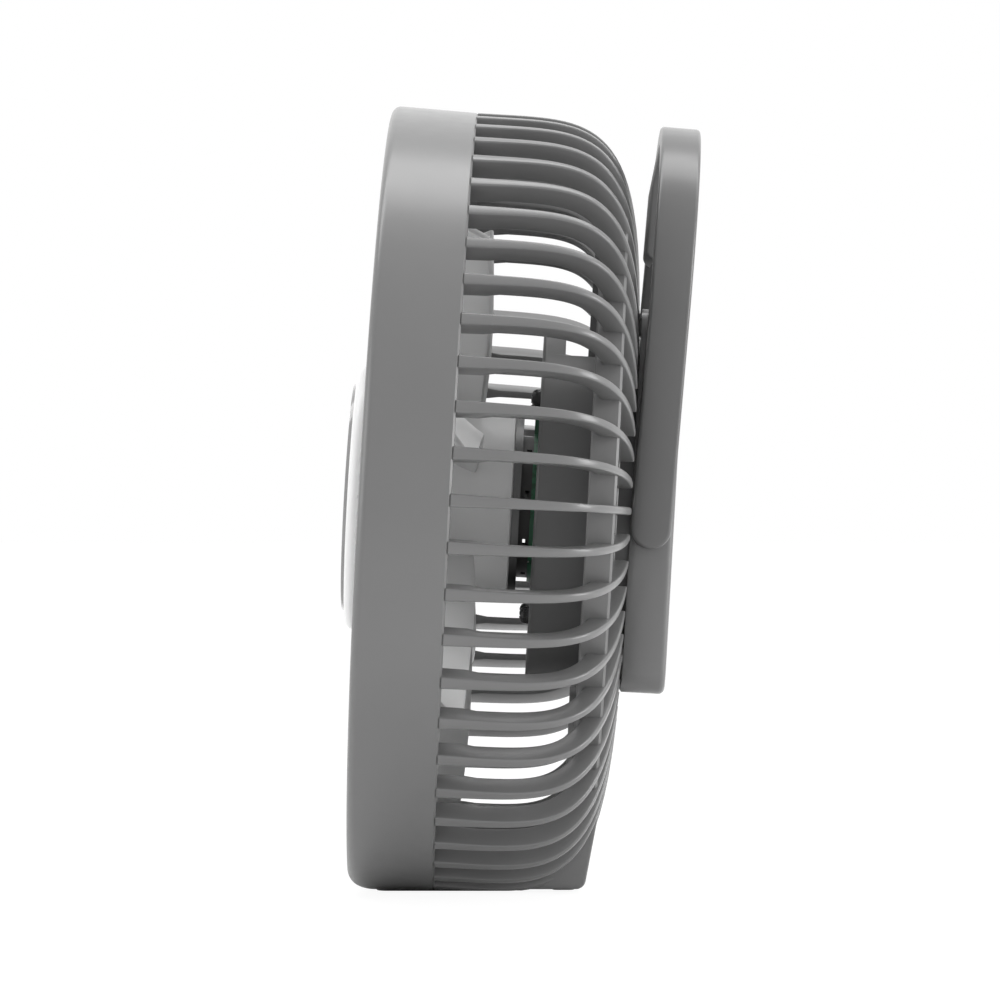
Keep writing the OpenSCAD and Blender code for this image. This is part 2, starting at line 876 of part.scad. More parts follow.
module battery_tray() {
    color("black") in_head() difference() {
        slab(tray_y, cell_y + 0.4 * cell_r)
            rounded(tray_w, tray_h, tray_corner);
        slab(tray_y + tray_wall, block_back)
            rounded(tray_w - 2 * tray_wall, tray_h - 2 * tray_wall, tray_corner / 2);
        rod(shaft_hole_r, tray_y - over, tray_y + tray_wall + over);
    }
}

module battery_cells() {
    color("steelblue") in_head()
        for (k = [-1, 1])
            translate([-cell_len / 2, cell_y, k * (cell_r + cell_gap / 2)])
                rotate([0, 90, 0])
                    cylinder(r = cell_r, h = cell_len);
}

module cell_tabs() {
    tab_h = 2.6 * cell_r;
    tab_deep = 0.8 * cell_r;
    color("silver") in_head()
        for (k = [-1, 1])
            translate([k * (cell_len + tab_t) / 2, 0, 0]) {
                translate([-tab_t / 2, cell_y - tab_deep / 2, -tab_h / 2])
                    cube([tab_t, tab_deep, tab_h]);
                translate([-tab_t / 2, cell_y, -tab_deep / 4])
                    cube([tab_t, cell_r + seat, tab_deep / 2]);
            }
}

module battery_leads() {
    color("red") in_head()
        for (k = [-1, 1])
            translate([k * (cell_len + tab_t) / 2, 0, 0])
                rod(lead_r, cell_y + cell_r + seat, control_y);
}

// Rear block: a chassis behind the guard's plate and the shell that closes it
neck_in = 2.3;
neck_r = pod_r - neck_in;
neck_wall = 2.6;
shell_screw_at = [34, 38];
shell_screw_r = 1.2;
post_at = [28, 32.4];
post_r = 2.2;
post_screw_r = 0.9;

module chassis() {
    inner_w = block_w - 2 * block_wall - 2 * seat;
    inner_h = block_h - 2 * block_wall - 2 * seat;
    plate_front = block_y + chassis_lift;
    color("dimgray") in_head() difference() {
        union() {
            turned([
                [neck_r - neck_wall, plate_back], [neck_r, plate_back],
                [neck_r, block_y], [inner_w / 2 - seat, block_y],
                [inner_w / 2 - seat, plate_front + over], [neck_r - neck_wall, plate_front + over]]);
            translate([0, 0, block_mid])
                slab(plate_front, plate_front + chassis_t)
                    rounded(inner_w, inner_h, block_corner - block_wall);
            at_corners(pod_screw_x, pod_screw_x)
                rod(pod_tube_r, plate_back, plate_front + chassis_t);
            translate([0, 0, block_mid])
                at_corners(post_at.x, post_at.y)
                    rod(post_r, plate_front, control_y);
        }
        at_corners(pod_screw_x, pod_screw_x)
            rod(pod_screw_r + fit, plate_back - over, block_back - block_wall);
        translate([0, 0, block_mid]) {
            at_corners(post_at.x, post_at.y)
                rod(post_screw_r + fit, plate_front - over, control_y + over);
            at_corners(shell_screw_at.x, shell_screw_at.y)
                rod(shell_screw_r + free / 2, plate_front - over, plate_front + chassis_t + over);
        }
        translate([0, 0, lead_z])
            rod(lead_hole_r, plate_front - over, plate_front + chassis_t + over);
        for (k = [-1, 1])
            translate([k * (cell_len + tab_t) / 2, 0, 0])
                rod(2 * lead_r, plate_front - over, plate_front + chassis_t + over);
    }
}

module shell_screws() {
    color("silver") in_head()
        translate([0, 0, block_mid])
            at_corners(shell_screw_at.x, shell_screw_at.y)
                pan_screw(shell_screw_r, 2 * shell_screw_r, shell_screw_r, block_y + chassis_lift,
                    block_back - block_wall - over);
}

// The block's middle is a little above the axis
block_mid = 2.8;
block_edge_r = 1.5;
button_z = 24;
light_z = 9;
light_r = 0.95;
light_pitch = 4;
light_count = 4;
socket_z = -24;
socket_wall = 0.3;

// The block's side outline [y, half width], with its rounded back edges
function block_side(half) = concat(
    [[block_y, half], [block_y, -half]],
    arc([block_back - block_edge_r, block_edge_r - half], block_edge_r, -90, 0, 6),
    arc([block_back - block_edge_r, half - block_edge_r], block_edge_r, 0, 90, 6));

module back_shell() {
    color("gray") in_head() difference() {
        union() {
            translate([0, 0, block_mid]) difference() {
                intersection() {
                    slab(block_y, block_back)
                        rounded(block_w, block_h, block_corner);
                    side(-block_w / 2, block_w / 2)
                        polygon(block_side(block_h / 2));
                    translate([0, 0, -block_h / 2])
                        linear_extrude(block_h)
                            polygon([for (p = block_side(block_w / 2)) [p.y, p.x]]);
                }
                slab(block_y - over, block_back - block_wall)
                    rounded(block_w - 2 * block_wall, block_h - 2 * block_wall,
                        block_corner - block_wall);
            }
            translate([0, 0, block_mid])
                at_corners(shell_screw_at.x, shell_screw_at.y)
                    rod(2.4 * shell_screw_r, block_y + chassis_lift + chassis_t, block_back - block_wall / 2);
        }
        translate([0, 0, block_mid])
            at_corners(shell_screw_at.x, shell_screw_at.y)
                rod(shell_screw_r + fit, block_y, block_back - block_wall - over / 2);
        translate([0, pivot_y, pivot_z])
            rotate([0, 90, 0])
                cylinder(r = stub_r + fit, h = block_w + 2 * over, center = true);
        translate([0, 0, button_z])
            rod(button_r + free, block_back - block_wall - over, block_back + over);
        for (i = [0 : light_count - 1])
            translate([(i - (light_count - 1) / 2) * light_pitch, 0, light_z])
                rod(light_r + fit, block_back - block_wall - over, block_back + over);
        translate([0, 0, socket_z])
            slab(block_back - block_wall - over, block_back + over)
                rounded(socket_w + 2 * free, socket_h + 2 * free, socket_h / 2);
    }
}

// Control board with its switch, charging socket and lights
control_w = 68;
control_h = 69;
chip_w = 6;
switch_w = 6;
switch_h = 3.4;
plunger_r = 1.6;
plunger_sunk = 1;
plunger_proud = 0.7;

module control_board() {
    color("darkgreen") in_head() translate([0, 0, block_mid]) difference() {
        union() {
            slab(control_y, control_y + control_t)
                rounded(control_w, control_h, tray_corner);
            translate([-control_w / 4, control_y + control_t, -chip_w])
                cube([chip_w, control_t, chip_w]);
            translate([control_w / 8, control_y + control_t, -chip_w])
                cube([chip_w, control_t / 2, chip_w]);
        }
        at_corners(post_at.x, post_at.y)
            rod(post_screw_r + fit, control_y - over, control_y + control_t + over);
    }
}

module board_screws() {
    color("silver") in_head() translate([0, 0, block_mid])
        at_corners(post_at.x, post_at.y)
            rotate([180, 0, 0])
                pan_screw(post_screw_r, 2 * post_screw_r, post_screw_r, -control_y - control_t,
                    -block_y - chassis_lift - fit);
}

module power_switch() {
    front = control_y + control_t;
    color("black") in_head()
        translate([0, 0, button_z])
            difference() {
                slab(front, front + switch_h)
                    square([switch_w, switch_w], center = true);
                rod(plunger_r + fit, front + switch_h - plunger_sunk - button_travel - seat,
                    front + switch_h + over);
            }
}

module switch_plunger() {
    face = control_y + control_t + switch_h;
    color("ivory") in_head()
        translate([0, 0, button_z])
            rod(plunger_r, face - plunger_sunk, face + plunger_proud);
}

button_flange = 1;
button_flange_t = 0.5;
button_proud = 0.7;

module power_button() {
    face = control_y + control_t + switch_h + plunger_proud;
    color("whitesmoke") in_head()
        translate([0, 0, button_z]) {
            rod(button_r + button_flange, face, face + button_flange_t);
            turned(concat(
                [[0, face]],
                [[button_r, face], [button_r, block_back + button_proud - button_flange / 2],
                 [button_r - button_flange / 2, block_back + button_proud],
                 [0, block_back + button_proud]]));
        }
}

module status_leds() {
    color("white") in_head()
        for (i = [0 : light_count - 1])
            translate([(i - (light_count - 1) / 2) * light_pitch, 0, light_z])
                slab(control_y + control_t, control_y + control_t + plunger_proud)
                    square([2 * light_r, light_r], center = true);
}

module light_pipes() {
    color("white") in_head()
        for (i = [0 : light_count - 1])
            translate([(i - (light_count - 1) / 2) * light_pitch, 0, light_z])
                rod(light_r, control_y + control_t + plunger_proud, block_back);
}

module usb_socket() {
    front = control_y + control_t;
    back = block_back - seat;
    color("silver") in_head()
        translate([0, 0, socket_z])
            difference() {
                slab(front, back)
                    rounded(socket_w, socket_h, socket_h / 2 - fit);
                difference() {
                    slab(front + 2 * socket_wall, back + over)
                        rounded(socket_w - 2 * socket_wall, socket_h - 2 * socket_wall,
                            socket_h / 2 - socket_wall - fit);
                    slab(front, back - 4 * socket_wall)
                        square([socket_w * 0.75, socket_h * 0.22], center = true);
                }
            }
}

// Clip arm: an arch over the block whose legs turn on stubs in the block's sides
arm_behind = 0.8;
pivot_y = block_back - arm_deep / 2 - arm_behind;
pivot_z = -3.9;
arm_gap = 1;
arm_in_r = block_w / 2 + arm_gap;
arm_out_r = arm_in_r + arm_t;
arch_z = arm_len - arm_out_r;
stub_len = 7.6;
washer_t = 0.7;
washer_r = stub_r + washer_t;
arm_screw_r = 1;

module in_arm() {
    in_head()
        translate([0, pivot_y, pivot_z])
            rotate([-arm_lean, 0, 0])
                children();
}

// The arch's outline from behind, between two radii, with legs down to a height
module arch(r_out, r_in, low) {
    difference() {
        union() {
            translate([0, arch_z])
                circle(r = r_out);
            translate([-r_out, low])
                square([2 * r_out, arch_z - low]);
        }
        translate([0, arch_z])
            circle(r = r_in);
        translate([-r_in, low - over])
            square([2 * r_in, arch_z - low + over]);
    }
}

// The tongue hangs from the middle of the arch, and the grip pad covers its front
tongue_t = 2.4;
tongue_top_z = arch_z + arm_in_r;
tongue_end_z = tongue_top_z - tongue_len;
grip_lap = 0.8;
grip_end_r = 2.6;
grip_top_t = 0.8;
grip_top_gap = 0.8;

module arm_tongue() {
    high = tongue_top_z + arm_t / 5;
    slab(-arm_deep / 2 + grip_lap, -arm_deep / 2 + grip_lap + tongue_t)
        translate([0, (tongue_end_z + high) / 2])
            rounded(tongue_w, high - tongue_end_z, tongue_w / 8);
}

module clip_arm() {
    color("gray") in_arm() difference() {
        union() {
            intersection() {
                slab(-arm_deep / 2, arm_deep / 2)
                    arch(arm_out_r, arm_in_r, -arm_deep / 2);
                side(-arm_out_r - over, arm_out_r + over) {
                    circle(r = arm_deep / 2);
                    translate([-arm_deep / 2, 0])
                        square([arm_deep, arm_len + over]);
                }
            }
            arm_tongue();
            for (k = [-1, 1])
                rotate([0, k * 90, 0]) {
                    translate([0, 0, block_w / 2 + free])
                        cylinder(r = stub_r + arm_gap, h = arm_gap);
                    translate([0, 0, arm_in_r - stub_len])
                        cylinder(r = stub_r, h = stub_len + over);
                }
        }
        for (k = [-1, 1])
            rotate([0, k * 90, 0])
                translate([0, 0, arm_in_r - stub_len - over])
                    cylinder(r = arm_screw_r + fit, h = stub_len - over);
    }
}

// Grip pad: a soft block on the tongue's front, thin at the top, round at its end
module grip_pad() {
    back = -arm_deep / 2 + grip_lap;
    front = -arm_deep / 2 - grip_proud;
    low = tongue_end_z - grip_lap;
    high = tongue_top_z - grip_top_gap;
    color("dimgray") in_arm() intersection() {
        side(-tongue_w / 2 + seat, tongue_w / 2 - seat)
            polygon(concat(
                [[back, high], [back - grip_top_t, high],
                 [front, tongue_end_z + 0.6 * tongue_len]],
                arc([front + grip_end_r, low + grip_end_r], grip_end_r, 180, 250, 6),
                [[back, low]]));
        slab(-arm_deep, arm_deep)
            translate([0, arch_z])
                circle(r = arm_in_r - seat);
    }
}

module pivot_washers() {
    color("silver") in_arm()
        for (k = [-1, 1])
            rotate([0, k * 90, 0])
                translate([0, 0, arm_in_r - stub_len - washer_t])
                    difference() {
                        cylinder(r = washer_r, h = washer_t);
                        translate([0, 0, -over])
                            cylinder(r = arm_screw_r + fit, h = washer_t + 2 * over);
                    }
}

module pivot_screws() {
    color("silver") in_arm()
        for (k = [-1, 1])
            rotate([0, k * 90, 0]) {
                translate([0, 0, arm_in_r - stub_len - 2 * washer_t])
                    cylinder(r = 2 * arm_screw_r, h = washer_t);
                translate([0, 0, arm_in_r - stub_len - washer_t])
                    cylinder(r = arm_screw_r, h = stub_len - washer_t - over);
            }
}

// Torsion springs round the stubs, inside the block
spring_wire = 0.6;
spring_len = 3;
spring_leg = 8;

module clip_springs() {
    spring_x = block_w / 2 - block_wall - fit - spring_len;
    color("silver") in_head()
        translate([0, pivot_y, pivot_z])
            for (k = [0, 1])
                mirror([k, 0, 0]) translate([spring_x, 0, 0]) {
                    rotate([0, 90, 0])
                        difference() {
                            cylinder(r = stub_r + fit + spring_wire, h = spring_len);
                            translate([0, 0, -over])
                                cylinder(r = stub_r + fit, h = spring_len + 2 * over);
                        }
                    translate([spring_wire / 2, -stub_r - fit - spring_wire / 2, -spring_leg])
                        cylinder(r = spring_wire / 2, h = spring_leg);
                }
}

front_ring();
front_guard();
front_cap();
cap_disc();
foot_pad();
heel_pad();
rear_guard();
pod_cover();
pod_screws();
bearing_tube();
motor_screws();
bearings();
stator_core();
stator_coils();
motor_board();
motor_leads();
fan_wheel();
rotor_bell();
magnet_ring();
rotor_shaft();
shaft_clip();
battery_tray();
battery_cells();
cell_tabs();
battery_leads();
chassis();
shell_screws();
back_shell();
control_board();
board_screws();
power_switch();
switch_plunger();
power_button();
status_leds();
light_pipes();
usb_socket();
clip_arm();
grip_pad();
pivot_washers();
pivot_screws();
clip_springs();
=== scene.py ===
import json
import math

import bmesh
import bpy
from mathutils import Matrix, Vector

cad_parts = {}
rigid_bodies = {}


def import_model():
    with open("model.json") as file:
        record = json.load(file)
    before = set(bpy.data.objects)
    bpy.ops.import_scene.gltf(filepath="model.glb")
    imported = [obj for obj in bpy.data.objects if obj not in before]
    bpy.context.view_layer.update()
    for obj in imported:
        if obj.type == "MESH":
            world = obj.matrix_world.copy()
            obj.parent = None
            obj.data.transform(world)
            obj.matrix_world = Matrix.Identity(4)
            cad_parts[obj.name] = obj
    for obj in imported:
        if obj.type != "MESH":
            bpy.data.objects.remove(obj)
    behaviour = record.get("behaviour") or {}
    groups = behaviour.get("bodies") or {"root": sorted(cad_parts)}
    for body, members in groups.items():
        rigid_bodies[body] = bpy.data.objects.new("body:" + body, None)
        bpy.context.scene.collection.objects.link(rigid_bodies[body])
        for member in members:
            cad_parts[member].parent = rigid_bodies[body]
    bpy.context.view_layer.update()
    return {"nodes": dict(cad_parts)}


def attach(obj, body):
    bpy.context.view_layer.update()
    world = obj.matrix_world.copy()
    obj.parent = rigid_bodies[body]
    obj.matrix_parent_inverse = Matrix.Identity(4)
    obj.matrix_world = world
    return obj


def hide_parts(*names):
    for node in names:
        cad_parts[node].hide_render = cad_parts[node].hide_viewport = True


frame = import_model()
nodes = frame["nodes"]


# ---- The studio
# A pale floor under a white surround. A long strip light hangs above the fan, a wide one
# stands beyond it, one lights the ribs' shoulders from behind and one the grille's side.
PHOTO_LENS, PHOTO_DISTANCE = 159, 1.12
VIEW_CENTRE, VIEW_SHIFT = (0.0192, 0.0899), (-0.024, 0.031)
FAN_MIDDLE = (0, 0.02, 0.1)
SURROUND_LIGHT = 0.64
FLOOR_SIZE, FLOOR_DROP = 60, 0.0002
PAPER_GREY, PAPER_ROUGH, PAPER_GLOW, GLOW_SHARE = 0.93, 0.9, 1.08, 0.86


class Wire:
    """An output socket. Sums written on it add Math nodes to its tree."""

    def __init__(self, owner, socket):
        self.owner, self.socket = owner, socket

    def maths(self, operation, *values):
        return self.owner.node("ShaderNodeMath", dict(enumerate(values)), operation=operation)

    def __add__(self, other):
        return self.maths("ADD", self, other)

    def __sub__(self, other):
        return self.maths("SUBTRACT", self, other)

    def __mul__(self, other):
        return self.maths("MULTIPLY", self, other)

    def __gt__(self, other):
        return self.maths("GREATER_THAN", self, other)

    def __or__(self, other):
        return self.maths("MAXIMUM", self, other)

    def __rsub__(self, other):
        return self.maths("SUBTRACT", other, self)

    __radd__ = __add__
    __rmul__ = __mul__
    __ror__ = __or__


class Nodes:
    """A node tree, whose nodes all come from node()."""

    def __init__(self, tree):
        self.tree = tree

    def fill(self, node, sockets):
        for key, value in sockets.items():
            if isinstance(value, Wire):
                self.tree.links.new(value.socket, node.inputs[key])
            else:
                node.inputs[key].default_value = value

    def node(self, kind, sockets, out=0, **settings):
        made = self.tree.nodes.new(kind)
        for key, value in settings.items():
            setattr(made, key, value)
        self.fill(made, sockets)
        return Wire(self, made.outputs[out])

    def ray(self, kind):
        return self.node("ShaderNodeLightPath", {}, out=f"Is {kind} Ray")


class Finish(Nodes):
    """A procedural material. Its shader is set by shade()."""

    def __init__(self, name, **values):
        self.material = bpy.data.materials.new(name)
        self.material.use_nodes = True
        super().__init__(self.material.node_tree)
        self.shader = self.tree.nodes["Principled BSDF"]
        self.shade(**values)

    def shade(self, **values):
        self.fill(self.shader, {key.replace("_", " "): value for key, value in values.items()})

    def coords(self, stretch=(1, 1, 1), turn=(0, 0, 0)):
        spot = self.node("ShaderNodeTexCoord", {}, out="Object")
        return self.node("ShaderNodeMapping", {"Vector": spot, "Scale": stretch, "Rotation": turn})

    def cloud(self, size, detail=2, stretch=(1, 1, 1)):
        return self.node("ShaderNodeTexNoise", {"Vector": self.coords(stretch), "Scale": 1 / size,
                                                "Detail": detail})

    def tint(self, factor, first, second):
        return self.node("ShaderNodeMix", {0: factor, 6: (*first, 1), 7: (*second, 1)}, out=2,
                         data_type="RGBA")

    def bump(self, height, strength, depth):
        return self.node("ShaderNodeBump", {"Height": height, "Strength": strength,
                                            "Distance": depth})


def add_lamp(name, place, size, power):
    lamp_data = bpy.data.lights.new(name, "AREA")
    lamp_data.shape = "RECTANGLE"
    lamp_data.size, lamp_data.size_y = size
    lamp_data.energy = power
    lamp = bpy.data.objects.new(name, lamp_data)
    bpy.context.collection.objects.link(lamp)
    lamp.location = place
    aim = Vector(FAN_MIDDLE) - Vector(place)
    lamp.rotation_euler = aim.to_track_quat("-Z", "Y").to_euler()


camera_data = bpy.data.cameras.new("photo_camera")
camera_data.lens = PHOTO_LENS
camera_data.shift_x, camera_data.shift_y = VIEW_SHIFT
camera = bpy.data.objects.new("photo_camera", camera_data)
camera.location = (PHOTO_DISTANCE, *VIEW_CENTRE)
camera.rotation_euler = (math.radians(90), 0, math.radians(90))
bpy.context.collection.objects.link(camera)
bpy.context.scene.camera = camera
bpy.context.scene.view_settings.view_transform = "Standard"

add_lamp("strip_light", (-0.2, 0.02, 1.14), (2.0, 0.44), 10)
add_lamp("far_light", (-1.1, 0.02, 0.8), (2.0, 0.9), 1.5)
add_lamp("rear_light", (0.35, 1.3, 0.45), (0.6, 0.8), 10)
add_lamp("front_light", (0.4, -1.3, 0.35), (0.9, 0.9), 4.5)

world = bpy.data.worlds.new("white_surround")
bpy.context.scene.world = world
world.use_nodes = True
surround = Nodes(world.node_tree)
seen = surround.ray("Camera") | surround.ray("Transmission") | surround.ray("Glossy")
surround.fill(surround.tree.nodes["Background"], {
    "Color": (1, 1, 1, 1),
    "Strength": surround.node("ShaderNodeMapRange", {"Value": seen, "To Min": SURROUND_LIGHT,
                                                     "To Max": 1})})

bpy.ops.mesh.primitive_plane_add(size=FLOOR_SIZE, location=(0, 0, -FLOOR_DROP))
floor = bpy.context.object
floor.name = "studio_floor"
paper = Finish("floor_paper", Base_Color=(*([PAPER_GREY] * 3), 1), Roughness=PAPER_ROUGH)
paper.fill(paper.tree.nodes["Material Output"], {
    "Surface": paper.node("ShaderNodeMixShader", {
        0: paper.ray("Camera") * GLOW_SHARE, 1: Wire(paper, paper.shader.outputs[0]),
        2: paper.node("ShaderNodeEmission", {"Strength": PAPER_GLOW})})})
floor.data.materials.append(paper.material)


# ---- Front ring with the front half of the foot
# One injection moulding in satin grey ABS: a turned ring with a rounded front edge and a
# collar that holds the grille. Its lowest part is cut flat and rounded off in front.
HEAD_LEAN, HEAD_PLACE = math.radians(3.2), (0, -0.0192, 0.0981953)
RING_R, RING_BACK_R, RING_LEN, RING_STEPS = 0.0992, 0.0986, 0.0215, 224
RING_WALL, RING_EDGE, RING_BEVEL, LIP_BEVEL = 0.0024, 0.0022, 0.0005, 0.0003
GRILLE_R, LEDGE_R, LEDGE_Y, COLLAR_Y = 0.0874, 0.0854, 0.0054, 0.008
FOOT_HALF, FOOT_CORNER, SOLE_LIFT = 0.022, 0.0064, 0.0005
FOOT_FLOOR, FLOOR_FRONT, FLOOR_SHORT, FLOOR_R = 0.0015, 0.0032, 0.0001, 0.0984
GROUND_FRONT, GROUND_END, GROUND_LOW, GROUND_HALF = -0.0005, 0.07, -0.105, 0.11
CORE_FRONT, CORE_BACK = -0.01, 0.05

STAIN_SIZE, GRAIN_SIZE, SCUFF_SIZE, SCUFF_STRETCH = 0.035, 0.00022, 0.006, (1, 1, 3)
GRAIN_ROUGH, SCUFF_ROUGH, GRAIN_DEEP = 0.1, 0.14, 0.00004
WELD, FINE_WELD, CHIP_WELD, SEED = 1e-6, 1e-7, 1e-8, 0.001
NEAR, SHARP, SMOOTH_ANGLE = 1e-5, 1, math.radians(35)


def moulded(name, grey, rough, grain=0.22, shift=0.06, **values):
    """Injection-moulded plastic: spark-eroded grain, faint clouding and handling marks."""
    colour = grey if isinstance(grey, tuple) else (grey, grey, grey)
    finish = Finish(name, **values)
    slow = finish.cloud(STAIN_SIZE, 3)
    fine = finish.cloud(GRAIN_SIZE, 2)
    scuffs = finish.cloud(SCUFF_SIZE, 4, SCUFF_STRETCH)
    finish.shade(
        Base_Color=finish.tint(slow, [c * (1 - shift) for c in colour],
                               [c * (1 + shift) for c in colour]),
        Roughness=rough + (fine - 0.5) * GRAIN_ROUGH + (scuffs - 0.5) * SCUFF_ROUGH,
        Normal=finish.bump(fine, grain, GRAIN_DEEP))
    return finish.material


def leave_edit():
    if bpy.context.object and bpy.context.object.mode == "EDIT":
        bpy.ops.object.mode_set(mode="OBJECT")
    bpy.ops.object.select_all(action="DESELECT")


def start_piece(name):
    """A new mesh object in edit mode, with no faces yet."""
    leave_edit()
    bpy.ops.mesh.primitive_plane_add(size=SEED)
    piece = bpy.context.object
    piece.name = piece.data.name = name
    bpy.ops.object.mode_set(mode="EDIT")
    bpy.ops.mesh.delete(type="VERT")
    return piece


def draw_line(points):
    """One vertex, extruded from point to point."""
    bpy.ops.mesh.select_mode(type="VERT")
    bpy.ops.mesh.select_all(action="DESELECT")
    bpy.ops.mesh.primitive_plane_add(size=SEED, location=points[0])
    bpy.ops.mesh.merge(type="CENTER")
    for here, there in zip(points, points[1:]):
        bpy.ops.mesh.extrude_region_move(
            TRANSFORM_OT_translate={"value": Vector(there) - Vector(here)})


def close_mesh(merge=WELD):
    bpy.ops.mesh.select_all(action="SELECT")
    bpy.ops.mesh.remove_doubles(threshold=merge)
    bpy.ops.mesh.normals_make_consistent(inside=False)


def turn_profile(outline, steps=160):
    """Spins an outline of [radius, y] round the head's axis; ends on the axis close up."""
    draw_line([(0, y, r) for r, y in outline])
    bpy.ops.mesh.select_linked()
    bpy.ops.mesh.remove_doubles(threshold=FINE_WELD)
    bpy.ops.mesh.spin(steps=steps, angle=2 * math.pi, center=(0, 0, 0), axis=(0, 1, 0))


def pick(piece, faces=None, edges=None, verts=None):
    """In edit mode, selects the faces, edges or vertices that a test picks."""
    bpy.ops.mesh.select_all(action="DESELECT")
    mode = "FACE" if faces else "EDGE" if edges else "VERT"
    bpy.ops.mesh.select_mode(type=mode)
    shape = bmesh.from_edit_mesh(piece.data)
    parts = shape.faces if faces else shape.edges if edges else shape.verts
    test = faces or edges or verts
    for part in parts:
        part.select_set(bool(test(part)))
    shape.select_flush_mode()
    bmesh.update_edit_mesh(piece.data)


def middle(part):
    return sum((v.co for v in part.verts), Vector()) / len(part.verts)


def runs(edge, axis):
    """True for an edge whose two ends lie apart along an axis."""
    first, second = edge.verts
    return abs(getattr(first.co, axis) - getattr(second.co, axis)) > NEAR


def same_side(edge):
    """True for an edge that stays on one side of the middle plane."""
    return edge.verts[0].co.x * edge.verts[1].co.x > 0


def arc(centre, radius, start, end, steps):
    turns = [math.radians(start + (end - start) * i / steps) for i in range(steps + 1)]
    return [(centre[0] + radius * math.cos(t), centre[1] + radius * math.sin(t)) for t in turns]


def use_modifier(piece, kind, **settings):
    modifier = piece.modifiers.new(kind.lower(), kind)
    for key, value in settings.items():
        setattr(modifier, key, value)
    leave_edit()
    piece.select_set(True)
    bpy.context.view_layer.objects.active = piece
    bpy.ops.object.modifier_apply(modifier=modifier.name)


def set_piece(piece, material, body="housing", replaces=(), in_head=True,
              lean=0, pivot=(0, 0, 0)):
    """Leaves edit mode, leans the piece with the head, and hands it to the frame."""
    leave_edit()
    piece.select_set(True)
    bpy.context.view_layer.objects.active = piece
    if lean or any(pivot):
        piece.rotation_euler = (-lean, 0, 0)
        piece.location = pivot
        bpy.ops.object.transform_apply(location=True, rotation=True, scale=True)
    if in_head:
        piece.rotation_euler = (-HEAD_LEAN, 0, 0)
        piece.location = HEAD_PLACE
    bpy.ops.object.transform_apply(location=True, rotation=True, scale=True)
    bpy.ops.object.shade_smooth_by_angle(angle=SMOOTH_ANGLE)
    piece.data.materials.clear()
    piece.data.materials.append(material)
    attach(piece, body)
    if replaces:
        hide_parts(*replaces)


def sole_at(y, lift=SOLE_LIFT):
    """Height of the floor plus a lift, in the leaning head's own frame."""
    return (lift - HEAD_PLACE[2] + y * math.sin(HEAD_LEAN)) / math.cos(HEAD_LEAN)


def prism(name, outline, low, high):
    """A side outline of [y, z], filled and given width along X. It stays in edit mode."""
    piece = start_piece(name)
    draw_line([(low, y, z) for y, z in outline])
    bpy.ops.mesh.select_all(action="SELECT")
    bpy.ops.mesh.edge_face_add()
    bpy.ops.mesh.extrude_region_move(TRANSFORM_OT_translate={"value": (high - low, 0, 0)})
    close_mesh()
    return piece


def turned_piece(name, outline, steps=160):
    piece = start_piece(name)
    turn_profile(outline, steps)
    close_mesh()
    leave_edit()
    return piece


def combine(piece, other, operation="DIFFERENCE"):
    """A boolean of two pieces; the second one is used up."""
    use_modifier(piece, "BOOLEAN", operation=operation, solver="EXACT", object=other)
    bpy.data.objects.remove(other)


body_plastic = moulded("body_plastic", 0.158, 0.33, Coat_Weight=0.3, Coat_Roughness=0.2)

ring = turned_piece(
    "front_ring_shell",
    [(GRILLE_R, LIP_BEVEL), (GRILLE_R + LIP_BEVEL, 0), (RING_R - RING_EDGE, 0)]
    + arc((RING_R - RING_EDGE, RING_EDGE), RING_EDGE, -90, 0, 10)
    + [(RING_BACK_R, RING_LEN - RING_BEVEL), (RING_BACK_R - RING_BEVEL, RING_LEN),
       (RING_BACK_R - RING_WALL, RING_LEN), (RING_R - RING_WALL, RING_EDGE + RING_WALL),
       (RING_R - RING_WALL - RING_EDGE, RING_WALL), (GRILLE_R + RING_WALL, RING_WALL),
       (GRILLE_R + RING_WALL, COLLAR_Y), (LEDGE_R, COLLAR_Y), (LEDGE_R, LEDGE_Y),
       (GRILLE_R, LEDGE_Y), (GRILLE_R, LIP_BEVEL)], RING_STEPS)
floor_end = RING_LEN - FLOOR_SHORT
ring_floor = prism("ring_floor", [
    (FLOOR_FRONT, sole_at(FLOOR_FRONT, 0)), (floor_end, sole_at(RING_LEN, 0)),
    (floor_end, sole_at(RING_LEN, FOOT_FLOOR)), (FLOOR_FRONT, sole_at(FLOOR_FRONT, FOOT_FLOOR))],
    -FOOT_HALF, FOOT_HALF)
ring_core = turned_piece("ring_core", [
    (0, CORE_FRONT), (FLOOR_R, CORE_FRONT), (FLOOR_R, CORE_BACK), (0, CORE_BACK)], RING_STEPS)
combine(ring_floor, ring_core, "INTERSECT")
combine(ring, ring_floor, "UNION")
corner_z = sole_at(FOOT_CORNER) + FOOT_CORNER
combine(ring, prism(
    "under_ring", [(GROUND_FRONT, GROUND_LOW), (GROUND_FRONT, corner_z)]
    + arc((FOOT_CORNER, corner_z), FOOT_CORNER, 180, 270, 12)
    + [(GROUND_END, sole_at(GROUND_END)), (GROUND_END, GROUND_LOW)], -GROUND_HALF, GROUND_HALF))
set_piece(ring, body_plastic, replaces=["front_ring"])


